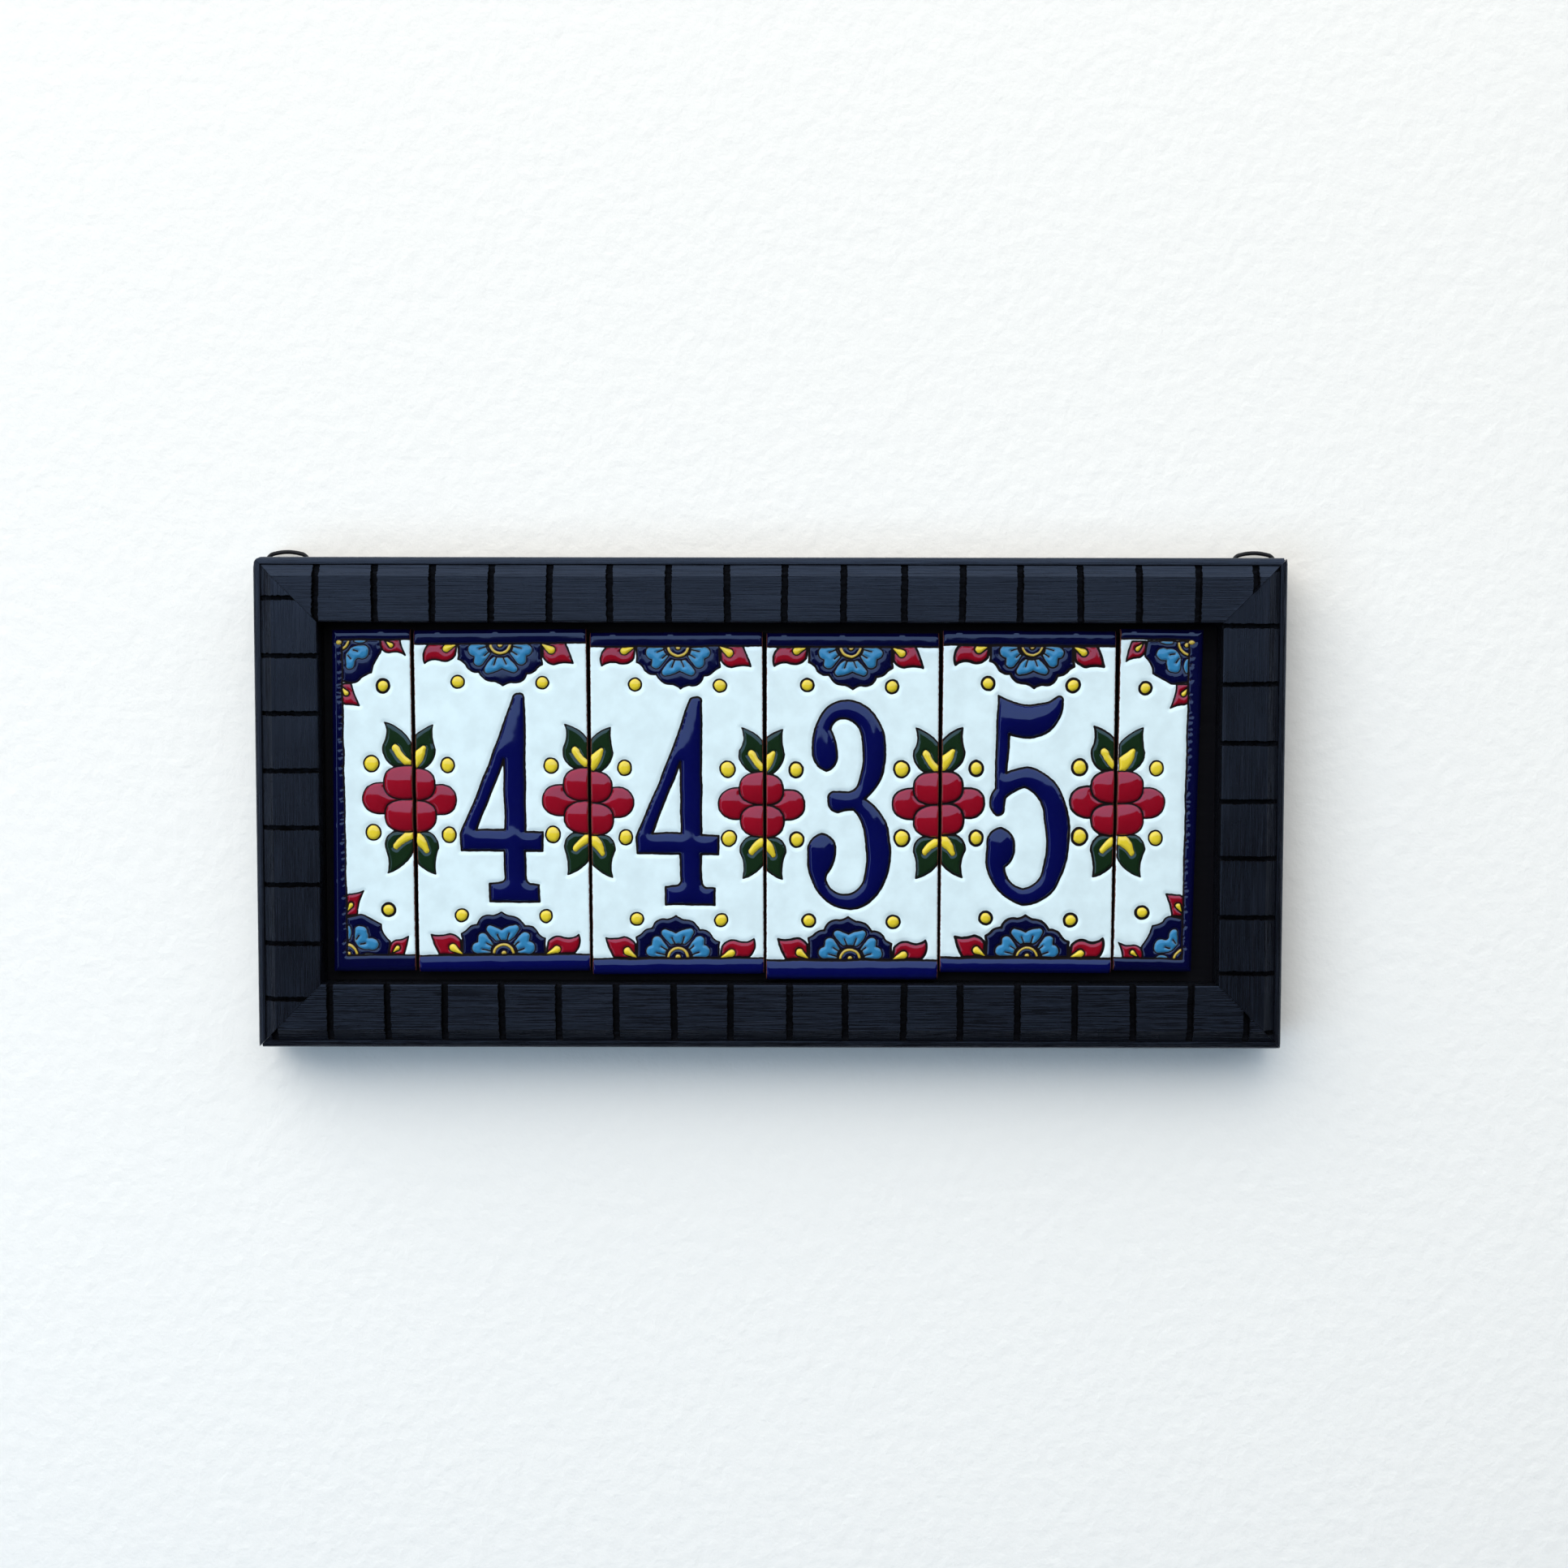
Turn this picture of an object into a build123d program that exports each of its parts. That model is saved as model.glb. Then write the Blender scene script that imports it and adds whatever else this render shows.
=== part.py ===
from build123d import *
import math
import os

# Framed tile house number, in millimetres. +X is right seen from the front, +Y goes into the wall
# and +Z is up. The origin is the centre of the frame's flat back.

# Frame, cut to go round the row of tiles
margin_beside_tiles = 4.4
margin_above_tiles = 2.9
rail_width = 20.0
frame_depth = 18.0
sight_lip_depth = 10.5
rabbet_width = 6.0
mitre_gap = 0.1
top_left_corner_radius = 3.0
top_right_corner_radius = 1.2
bottom_corner_radius = 0.7

# Moulding profile, from the outer edge inwards
bead_width = 2.2
bead_drop = 1.4
bead_crown = 0.5
quirk_width = 0.5
quirk_depth = 0.4
shoulder_width = 3.2
shoulder_drop = 2.4
shoulder_hollow = 0.35
arris_radius = 0.35

# Saw notches across the face of the moulding
top_notch_pitch = 18.05
bottom_notch_pitch = 17.76
left_notch_pitch = 17.8
right_notch_pitch = 17.9
notch_width = 1.9
notch_depth = 3.0
top_notch_phase = 4.8
bottom_notch_phase = -6.0
left_notch_phase = -7.6
right_notch_phase = -1.2

# Backing board
board_thickness = 3.2
board_play = 0.5

# Tiles
tile_height = 106.2
tile_thickness = 6.0
number_tile_width = 53.3
end_field_width = 21.5
left_bar_top_width = 2.6
left_bar_bottom_width = 4.0
right_bar_top_width = 4.1
right_bar_bottom_width = 2.7
end_slack = 0.1
tile_joint = 1.0
row_shift = -1.55
left_end_lift = 0.75
left_end_lean = -0.5
number_tile_lifts = (0.65, -0.15, -1.05, 0.45)
number_tile_leans = (-0.53, -0.32, 0.0, 0.3)
right_end_lift = 1.15
right_end_lean = 0.7
number_tile_extra_heights = (0.0, 0.0, 1.4, 0.0)
house_number = "4435"
drawn_tile_height = 106.2

# Raised glaze on the tiles
relief_height = 0.7
numeral_height = 0.9
top_bar_height = 3.5
bottom_bar_height = 4.6
end_top_bar_height = 2.8
left_end_bottom_bar_height = 4.7
right_end_bottom_bar_height = 3.7
bar_rise = 0.9
bar_slope = 40.0
ornament_inset = 0.5
line_width = 0.65
side_dot_radius = 2.1
side_dot_insets = (11.0, 10.2)
side_dot_rise = 10.8
rosette_dot_radius = 1.9
rosette_dot_spread = 13.1
rosette_dot_drop = 12.0
corner_dot_radius = 1.8
corner_dot_inset = 13.1
corner_dot_drop = 14.6
berry_widths = (15.0, 12.8)
berry_height = 9.9
berry_spread = 5.1
side_berry_places = (8.1, 7.6)
side_berry_widths = (11.6, 10.4)
side_berry_height = 9.6

# Hangers on the back of the stiles
strap_width = 8.0
strap_length = 19.0
strap_thickness = 0.7
strap_end_radius = 3.0
fold_taper = 4.5
ring_wire_radius = 0.65
ring_clearance = 0.05
ring_bar_length = 9.6
ring_top_width = 14.0
ring_height = 10.2
ring_crown = 1.6
ring_crown_radius = 16.0
ring_corner_radius = 2.6
ring_bend_radius = 1.1
ring_end_gap = 0.4
ring_rise = 2.9
ring_lean = 3.0
strap_screw_offset = 13.8
screw_head_radius = 2.7
screw_head_height = 1.7
screw_shank_radius = 1.5
screw_length = 12.0
screw_tip_length = 3.0
screw_slot_width = 0.8
screw_slot_depth = 0.7
fastener_clearance = 0.05

# V-nails across the backs of the mitres
v_nail_leg = 4.5
v_nail_spread = 120.0
v_nail_thickness = 0.6
v_nail_depth = 7.0
v_nail_sink = 0.2
v_nail_inset = 8.4
v_nail_pitch = 6.0
v_nail_count = 2

# Points that hold the board in the rabbet
point_width = 6.0
point_thickness = 0.5
point_reach = 5.0
point_bite = 4.0
point_tip = 2.0
rail_point_count = 3
rail_point_pitch = 100.0
stile_point_count = 2
stile_point_pitch = 60.0

# Sizes worked out from those above
number_row_width = len(house_number) * (number_tile_width + tile_joint) + tile_joint
end_tile_width = end_field_width + left_bar_bottom_width
sight_width = number_row_width + 2 * (end_tile_width + margin_beside_tiles)
sight_height = tile_height + 2 * margin_above_tiles
outer_width = sight_width + 2 * rail_width
outer_height = sight_height + 2 * rail_width
board_face_y = sight_lip_depth - frame_depth
board_back_y = board_face_y + board_thickness
tile_face_y = board_face_y - tile_thickness
bead_foot = rail_width - bead_width
shoulder_foot = bead_foot - quirk_width
flat_width = shoulder_foot - shoulder_width
hanger_x = outer_width / 2 - (rail_width - rabbet_width) / 2
strap_back_y = 2 * strap_thickness
ring_centre_y = strap_thickness + ring_clearance + ring_wire_radius
pivot_z = outer_height / 2 + ring_rise - ring_height
screw_z = pivot_z - strap_screw_offset
front = (0, -1, 0)
back = (0, 1, 0)

os.makedirs("parts", exist_ok=True)


def save(part, label):
    """Label one finished piece and write it as its own STEP file."""
    part.label = label
    export_step(part, f"parts/{label}.step")


def outline_face(start, *steps):
    """A face bounded by straight steps (end,) and arc steps (via, end), closed back to its start."""
    with BuildSketch(Plane.XY) as shape:
        with BuildLine():
            here = start
            for step in steps:
                if len(step) == 1:
                    Line(here, step[0])
                else:
                    ThreePointArc(here, step[0], step[1])
                here = step[-1]
            if here != start:
                Line(here, start)
        make_face()
    return shape.sketch


# Fasteners that the moulding is cut for

def v_nail_outlines(grow):
    """The V-nails of one corner, drawn with Y running out along the mitre."""
    thickness = v_nail_thickness + 2 * grow
    lean = (180 - v_nail_spread) / 2
    from_fold = (Align.MIN, Align.CENTER)
    with BuildSketch(Plane.XY) as nails:
        for index in range(v_nail_count):
            with Locations((0, (v_nail_inset + index * v_nail_pitch) * math.sqrt(2))):
                for turn in (lean, 180 - lean):
                    Rectangle(v_nail_leg + grow, thickness, rotation=turn, align=from_fold)
                Circle(thickness / 2)
    return nails.sketch


def corner_planes(drop):
    """A plane for each mitre, level with the frame's back or below it."""
    planes = []
    for side in (-1, 1):
        for level in (-1, 1):
            place = (side * sight_width / 2, -drop, level * sight_height / 2)
            outward = Vector(side, 0, level).normalized()
            planes.append(Plane(place, x_dir=outward.cross(Vector(back)), z_dir=back))
    return planes


def point_outlines(count, pitch, grow):
    """The points of one rail, drawn with Y running out from the sight edge."""
    half = point_width / 2 + grow
    inner = rabbet_width - point_reach - grow
    outer = rabbet_width + point_bite + grow
    neck = outer - point_tip
    with BuildSketch(Plane.XY) as points:
        with GridLocations(pitch, 1, count, 1):
            Polygon((-half, inner), (half, inner), (half, neck), (0, outer), (-half, neck), align=None)
    return points.sketch


# Moulding: each rail's plane lies on the frame's back, with X along the rail and Y out from the sight edge

rails = {
    "top_rail": (Plane((0, 0, sight_height / 2), (1, 0, 0), front), sight_width),
    "bottom_rail": (Plane((0, 0, -sight_height / 2), (-1, 0, 0), front), sight_width),
    "left_stile": (Plane((-sight_width / 2, 0, 0), (0, 0, 1), front), sight_height),
    "right_stile": (Plane((sight_width / 2, 0, 0), (0, 0, -1), front), sight_height),
}
notch_rows = {
    "top_rail": (top_notch_phase, top_notch_pitch),
    "bottom_rail": (bottom_notch_phase, bottom_notch_pitch),
    "left_stile": (left_notch_phase, left_notch_pitch),
    "right_stile": (right_notch_phase, right_notch_pitch),
}
point_rows = {
    "top_rail": (rail_point_count, rail_point_pitch),
    "bottom_rail": (rail_point_count, rail_point_pitch),
    "left_stile": (stile_point_count, stile_point_pitch),
    "right_stile": (stile_point_count, stile_point_pitch),
}
screw_sides = {"left_stile": -1, "right_stile": 1}

# Outline of the whole frame, its outer corners worn round
with BuildSketch(Plane.XY) as frame_outline:
    Rectangle(outer_width, outer_height)
    top_corners = frame_outline.vertices().group_by(Axis.Y)[-1].sort_by(Axis.X)
    bottom_corners = frame_outline.vertices().group_by(Axis.Y)[0]
    fillet(top_corners[0], top_left_corner_radius)
    fillet(top_corners[-1], top_right_corner_radius)
    fillet(bottom_corners, bottom_corner_radius)

for name, (plane, sight_length) in rails.items():
    notch_phase, notch_pitch = notch_rows[name]
    section = Plane(plane.origin, plane.y_dir, plane.x_dir)
    length = sight_length + 2 * rail_width
    lip_level = frame_depth - sight_lip_depth
    foot_level = frame_depth - shoulder_drop
    bead_level = foot_level - bead_drop
    quirk = (shoulder_foot + quirk_width / 2, foot_level - quirk_depth)
    with BuildPart() as rail:
        with BuildSketch(section):
            with BuildLine():
                FilletPolyline(
                    (0, lip_level),
                    (0, frame_depth),
                    (flat_width, frame_depth),
                    radius=arris_radius,
                )
                SagittaArc((flat_width, frame_depth), (shoulder_foot, foot_level), -shoulder_hollow)
                Polyline((shoulder_foot, foot_level), quirk, (bead_foot, foot_level))
                SagittaArc((bead_foot, foot_level), (rail_width, bead_level), bead_crown)
                Polyline(
                    (rail_width, bead_level),
                    (rail_width, 0),
                    (rabbet_width, 0),
                    (rabbet_width, lip_level),
                    (0, lip_level),
                )
            make_face()
        extrude(amount=length / 2, both=True)
        for end in (-1, 1):
            facing = (plane.x_dir * end - plane.y_dir).normalized()
            corner = plane.from_local_coords(Vector(end * sight_length / 2, 0, 0))
            split(bisect_by=Plane(corner - facing * mitre_gap / 2, z_dir=facing), keep=Keep.BOTTOM)
        with BuildSketch(Plane((0, 0, 0), (1, 0, 0), front)):
            add(frame_outline.sketch)
        extrude(amount=frame_depth, mode=Mode.INTERSECT)
        first = math.ceil((-length / 2 - notch_phase) / notch_pitch)
        last = math.floor((length / 2 - notch_phase) / notch_pitch)
        with BuildSketch(plane.offset(frame_depth)):
            with Locations(*[(notch_phase + index * notch_pitch, 0) for index in range(first, last + 1)]):
                Rectangle(notch_width, shoulder_foot, align=(Align.CENTER, Align.MIN))
        extrude(amount=-notch_depth, mode=Mode.SUBTRACT)
        with BuildSketch(*corner_planes(0)):
            add(v_nail_outlines(fastener_clearance))
        extrude(amount=-v_nail_sink - v_nail_depth - fastener_clearance, mode=Mode.SUBTRACT)
        with BuildSketch(plane.offset(-board_back_y + fastener_clearance)):
            add(point_outlines(*point_rows[name], fastener_clearance))
        extrude(amount=-point_thickness - 2 * fastener_clearance, mode=Mode.SUBTRACT)
        if name in screw_sides:
            with BuildSketch(Plane((screw_sides[name] * hanger_x, 0, screw_z), (1, 0, 0), back)):
                Circle(screw_shank_radius + fastener_clearance)
            extrude(amount=strap_back_y - screw_length - fastener_clearance, mode=Mode.SUBTRACT)
    save(rail.part, name)

with BuildPart() as corner_v_nails:
    with BuildSketch(*corner_planes(v_nail_sink)):
        add(v_nail_outlines(0))
    extrude(amount=-v_nail_depth)
save(corner_v_nails.part, "corner_v_nails")

with BuildPart() as frame_points:
    for name, (plane, sight_length) in rails.items():
        with BuildSketch(plane.offset(-board_back_y)):
            add(point_outlines(*point_rows[name], 0))
        extrude(amount=-point_thickness)
save(frame_points.part, "frame_points")

board_margin = rabbet_width - board_play
with BuildPart() as backing_board:
    with BuildSketch(Plane((0, board_face_y, 0), (1, 0, 0), back)):
        Rectangle(sight_width + 2 * board_margin, sight_height + 2 * board_margin)
    extrude(amount=board_thickness)
save(backing_board.part, "backing_board")

# Glaze fields of the tiles, drawn on a flat sheet with the tile's middle at the origin

# Half rosette that hangs from the middle of the top bar, scalloped, with a point below and one at each side
rosette = outline_face(
    (12.75, 0),
    ((12.75, -5.0),),
    ((12.95, -5.6), (13.1, -6.5)),
    ((12.1, -7.0), (11.3, -7.6)),
    ((10.0, -8.75), (8.05, -9.15)),
    ((7.7, -10.2), (7.0, -11.2)),
    ((5.5, -12.0), (3.5, -11.95)),
    ((2.0, -12.35), (0.75, -13.1)),
    ((-0.3, -12.4), (-1.7, -11.75)),
    ((-2.9, -11.65), (-4.4, -11.2)),
    ((-5.7, -10.0), (-6.6, -8.6)),
    ((-9.2, -8.2), (-10.7, -6.4)),
    ((-11.6, -5.5), (-12.9, -4.9)),
    ((-12.8, 0),),
)

# Flame leaf beside it, and the longer one on its other side
flame_leaf = outline_face(
    (13.7, -0.3),
    ((20.0, -0.3),),
    ((21.4, -2.8), (22.5, -6.3)),
    ((19.8, -6.0), (16.8, -6.5)),
    ((14.9, -5.7), (13.8, -4.2)),
)
long_flame_leaf = outline_face(
    (-13.5, -0.3),
    ((-21.8, -0.3),),
    ((-23.7, -2.7), (-23.5, -5.9)),
    ((-21.2, -4.85), (-18.6, -5.1)),
    ((-16.0, -5.3), (-13.7, -3.6)),
)

# Leaves above and below the berries, drawn past the joint that cuts them: on its left, then on its right
left_upper_leaf = outline_face(
    (1.5, 9.6),
    ((-4.1, 10.4),),
    ((-6.9, 13.2), (-7.3, 16.9)),
    ((-6.2, 20.5), (-6.7, 23.9)),
    ((-3.6, 22.6), (1.5, 17.2)),
)
left_lower_leaf = outline_face(
    (1.5, -9.0),
    ((-4.6, -10.0),),
    ((-6.8, -12.1), (-7.15, -14.8)),
    ((-6.3, -18.9), (-6.5, -22.8)),
    ((-3.3, -21.5), (1.5, -15.8)),
)
right_upper_leaf = outline_face(
    (-1.5, 9.9),
    ((2.4, 9.9),),
    ((5.4, 12.6), (6.4, 15.8)),
    ((5.6, 20.0), (5.8, 23.5)),
    ((2.6, 22.1), (-1.5, 18.2)),
)
right_lower_leaf = outline_face(
    (-1.5, -9.6),
    ((4.2, -10.0),),
    ((6.5, -12.4), (6.95, -14.7)),
    ((5.7, -18.9), (5.95, -23.0)),
    ((3.0, -21.7), (-1.5, -17.0)),
)

# Corner rosette of an end tile and its two small leaves, drawn from the corner of the white field
corner_rosette = outline_face(
    (0, 0),
    ((12.6, 0),),
    ((13.0, -2.2), (12.9, -4.2)),
    ((11.3, -6.6), (10.5, -8.8)),
    ((10.4, -10.2),),
    ((8.0, -11.3), (5.6, -13.0)),
    ((3.6, -13.5), (1.8, -12.8)),
    ((0, -12.9),),
)
corner_leaf = outline_face(
    (13.6, -0.4),
    ((18.6, -0.4),),
    ((19.2, -2.9), (20.1, -5.9)),
    ((18.0, -4.6), (15.8, -4.5)),
    ((13.7, -4.4),),
)
side_leaf = outline_face(
    (0, -13.9),
    ((3.9, -14.0),),
    ((4.3, -16.9), (5.6, -20.7)),
    ((3.0, -19.9), (0.3, -19.6)),
    ((0, -18.4),),
)

# Numerals with round terminals, drawn for a tile of the drawn height
numeral_outlines = {
    "3": outline_face(
        (-12.35, 17.2),
        ((-11.8, 23.4), (-9.3, 28.7)),
        ((-5.9, 31.7), (-1.6, 32.85)),
        ((2.4, 31.8), (5.8, 29.2)),
        ((9.0, 24.2), (10.15, 16.5)),
        ((8.9, 9.2), (4.0, 2.0)),
        ((9.2, -3.3), (11.5, -10.6)),
        ((11.6, -17.9), (9.9, -23.9)),
        ((6.3, -29.2), (-0.6, -32.1)),
        ((-6.6, -30.4), (-10.9, -26.3)),
        ((-13.3, -20.2), (-13.7, -14.6)),
        ((-12.2, -10.1), (-9.3, -8.55)),
        ((-6.7, -9.8), (-5.4, -13.2)),
        ((-5.8, -17.6), (-7.7, -21.0)),
        ((-8.2, -22.4), (-7.8, -24.0)),
        ((-5.9, -26.4), (-2.5, -27.5)),
        ((1.4, -26.4), (3.6, -23.3)),
        ((4.6, -16.2), (4.0, -8.6)),
        ((2.7, -4.2), (0.3, -1.1)),
        ((-1.9, -1.2), (-4.3, -1.9)),
        ((-6.9, -0.6), (-7.5, 2.0)),
        ((-6.9, 3.9), (-5.2, 4.4)),
        ((-1.2, 4.35),),
        ((0.6, 5.1), (1.9, 6.8)),
        ((3.3, 13.5), (3.0, 21.0)),
        ((1.5, 25.0), (-2.2, 27.2)),
        ((-5.2, 26.4), (-6.9, 23.7)),
        ((-5.3, 20.2), (-4.75, 16.3)),
        ((-5.6, 12.6), (-8.2, 11.0)),
        ((-10.9, 12.9), (-12.35, 17.2)),
    ),
    "4": outline_face(
        (7.65, 31.9),
        ((7.2, 32.9), (5.9, 33.1)),
        ((4.6, 32.9), (3.9, 31.7)),
        ((-1.1, 17.9), (-12.3, -8.8)),
        ((-12.75, -10.2),),
        ((-12.45, -15.3),),
        ((0.8, -15.5),),
        ((1.0, -23.4),),
        ((0.5, -25.0), (-0.9, -25.5)),
        ((-3.9, -25.8),),
        ((-3.8, -31.3),),
        ((11.5, -31.5),),
        ((11.5, -26.3),),
        ((9.6, -26.1),),
        ((7.9, -25.5), (7.3, -24.0)),
        ((7.15, -15.8),),
        ((12.7, -15.7),),
        ((12.75, -9.85),),
        ((7.4, -9.7),),
    ),
    "5": outline_face(
        (-9.75, 33.2),
        ((-0.5, 30.4), (5.7, 31.2)),
        ((7.2, 32.1), (8.6, 33.1)),
        ((10.0, 32.9), (10.2, 31.4)),
        ((7.6, 23.9), (0.3, 20.3)),
        ((-2.9, 20.5), (-6.2, 21.2)),
        ((-6.85, 9.2),),
        ((-3.8, 10.5), (-0.4, 11.1)),
        ((6.2, 8.2), (10.4, 2.4)),
        ((12.4, -4.2), (12.75, -11.0)),
        ((11.6, -19.6), (8.6, -26.3)),
        ((4.4, -30.2), (-1.4, -31.7)),
        ((-7.0, -29.0), (-10.9, -24.2)),
        ((-12.6, -19.2), (-12.6, -13.9)),
        ((-11.3, -9.4), (-8.5, -7.8)),
        ((-5.6, -9.3), (-4.1, -13.8)),
        ((-4.9, -17.5), (-7.3, -20.0)),
        ((-5.5, -24.5), (-1.2, -26.8)),
        ((2.7, -24.8), (4.9, -20.4)),
        ((5.85, -12.5), (5.2, -4.9)),
        ((3.2, 1.3), (-1.2, 4.85)),
        ((-4.4, 3.7), (-7.2, 1.4)),
        ((-7.5, -1.4),),
        ((-8.5, -3.6), (-9.8, -3.9)),
        ((-11.5, -1.7), (-11.6, 1.4)),
        ((-11.0, 3.1), (-10.2, 4.3)),
    ),
}
numeral_outlines["4"] -= outline_face((1.05, 12.9), ((1.15, -9.05),), ((-7.9, -9.05),))


def joint_group(side, leaves):
    """Berries, leaves and dots on the left (-1) or right (1) of a joint, cut off at the tile's edge."""
    left_or_right = 0 if side < 0 else 1
    berry_width = berry_widths[left_or_right]
    tile_side = Align.MAX if side < 0 else Align.MIN
    with BuildSketch(Plane.XY) as group:
        for level in (-berry_spread, berry_spread):
            with Locations((0, level)):
                Ellipse(berry_width / 2, (berry_height - line_width) / 2)
        with BuildSketch(Plane.XY, mode=Mode.PRIVATE) as side_berry:
            with Locations((side * side_berry_places[left_or_right], 0)):
                Ellipse(side_berry_widths[left_or_right] / 2, side_berry_height / 2)
            for level in (-berry_spread, berry_spread):
                reach = berry_width / 2 + line_width
                with Locations((0, level)):
                    Ellipse(reach, (berry_height + line_width) / 2, mode=Mode.SUBTRACT)
        add(side_berry.sketch)
        for leaf in leaves:
            add(leaf)
        dot_x = side * side_dot_insets[left_or_right]
        with Locations((dot_x, side_dot_rise), (dot_x, -side_dot_rise)):
            Circle(side_dot_radius)
        with Locations((0, 0)):
            Rectangle(tile_height, tile_height, align=(tile_side, Align.CENTER), mode=Mode.INTERSECT)
    return group.sketch


left_of_joint = joint_group(-1, (left_upper_leaf, left_lower_leaf))
right_of_joint = joint_group(1, (right_upper_leaf, right_lower_leaf))

# Rosette, leaves and dots under the top bar, with the rosette's centre at the origin
with BuildSketch() as bar_ornament:
    add(rosette)
    add(flame_leaf)
    add(long_flame_leaf)
    with Locations((-rosette_dot_spread, -rosette_dot_drop), (rosette_dot_spread, -rosette_dot_drop)):
        Circle(rosette_dot_radius)

# Corner group of an end tile
with BuildSketch() as corner_ornament:
    add(corner_rosette)
    add(corner_leaf)
    add(side_leaf)
    with Locations((corner_dot_inset, -corner_dot_drop)):
        Circle(corner_dot_radius)


def placed(sketch, x, y, turn=0.0, flip=None):
    """A drawn group, mirrored, turned and moved to its place on the tile."""
    if flip is not None:
        sketch = mirror(sketch, about=flip, mode=Mode.PRIVATE)
    return sketch.moved(Location((x, y, 0), (0, 0, turn)))


def tile_plane(x, lift, lean=0.0):
    """The face of a tile at this place in the row, its top leaning to the right."""
    along = (math.cos(math.radians(lean)), 0, -math.sin(math.radians(lean)))
    return Plane((x, tile_face_y, lift), along, front)


# Number tiles

first_number_x = row_shift - (len(house_number) - 1) / 2 * (number_tile_width + tile_joint)
for index, digit in enumerate(house_number):
    height = tile_height + number_tile_extra_heights[index]
    place = first_number_x + index * (number_tile_width + tile_joint)
    face = tile_plane(place, number_tile_lifts[index], number_tile_leans[index])
    field_top = height / 2 - top_bar_height
    field_bottom = bottom_bar_height - height / 2
    with BuildPart() as number_tile:
        with BuildSketch(face):
            Rectangle(number_tile_width, height)
        extrude(amount=-tile_thickness)
        with BuildSketch(face):
            Rectangle(number_tile_width, height)
            with Locations((0, (field_top + field_bottom) / 2)):
                Rectangle(number_tile_width, field_top - field_bottom, mode=Mode.SUBTRACT)
        extrude(amount=bar_rise, taper=bar_slope)
        with BuildSketch(face):
            add(placed(bar_ornament.sketch, 0, field_top - ornament_inset))
            add(placed(bar_ornament.sketch, 0, field_bottom + ornament_inset, turn=180))
            add(placed(left_of_joint, number_tile_width / 2, 0))
            add(placed(right_of_joint, -number_tile_width / 2, 0))
        extrude(amount=relief_height)
        with BuildSketch(face):
            add(scale(numeral_outlines[digit], tile_height / drawn_tile_height, mode=Mode.PRIVATE))
        extrude(amount=numeral_height)
    save(number_tile.part, f"number_tile_{index + 1}")

# End tiles, the bar along the bottom of each as high as the cut left it

end_reach = number_row_width / 2 + end_slack
left_end_face = tile_plane(row_shift - end_reach, left_end_lift, left_end_lean)
right_end_face = tile_plane(row_shift + end_reach, right_end_lift, right_end_lean)
end_tiles = {
    "end_tile_left": (-1, left_end_face, left_bar_top_width, left_bar_bottom_width),
    "end_tile_right": (1, right_end_face, right_bar_top_width, right_bar_bottom_width),
}
for name, (side, face, bar_top, bar_bottom) in end_tiles.items():
    foot_height = left_end_bottom_bar_height if side < 0 else right_end_bottom_bar_height
    corners = [
        (0, tile_height / 2),
        (side * (end_field_width + bar_top), tile_height / 2),
        (side * (end_field_width + bar_bottom), -tile_height / 2),
        (0, -tile_height / 2),
    ]
    flip = None if side < 0 else Plane.YZ
    field_top = tile_height / 2 - end_top_bar_height
    field_bottom = foot_height - tile_height / 2
    with BuildPart() as end_tile:
        with BuildSketch(face):
            with BuildLine():
                Polyline(*corners, close=True)
            make_face()
        extrude(amount=-tile_thickness)
        with BuildSketch(face):
            with BuildLine():
                Polyline(*corners, close=True)
            make_face()
            with Locations((side * end_field_width / 2, (field_top + field_bottom) / 2)):
                Rectangle(end_field_width, field_top - field_bottom, mode=Mode.SUBTRACT)
        extrude(amount=bar_rise, taper=bar_slope)
        with BuildSketch(face):
            add(left_of_joint if side < 0 else right_of_joint)
            upper = corner_ornament.sketch
            lower = mirror(corner_ornament.sketch, about=Plane.XZ, mode=Mode.PRIVATE)
            add(placed(upper, side * end_field_width, field_top, flip=flip))
            add(placed(lower, side * end_field_width, field_bottom, flip=flip))
        extrude(amount=relief_height)
    save(end_tile.part, name)

# Hangers

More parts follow.
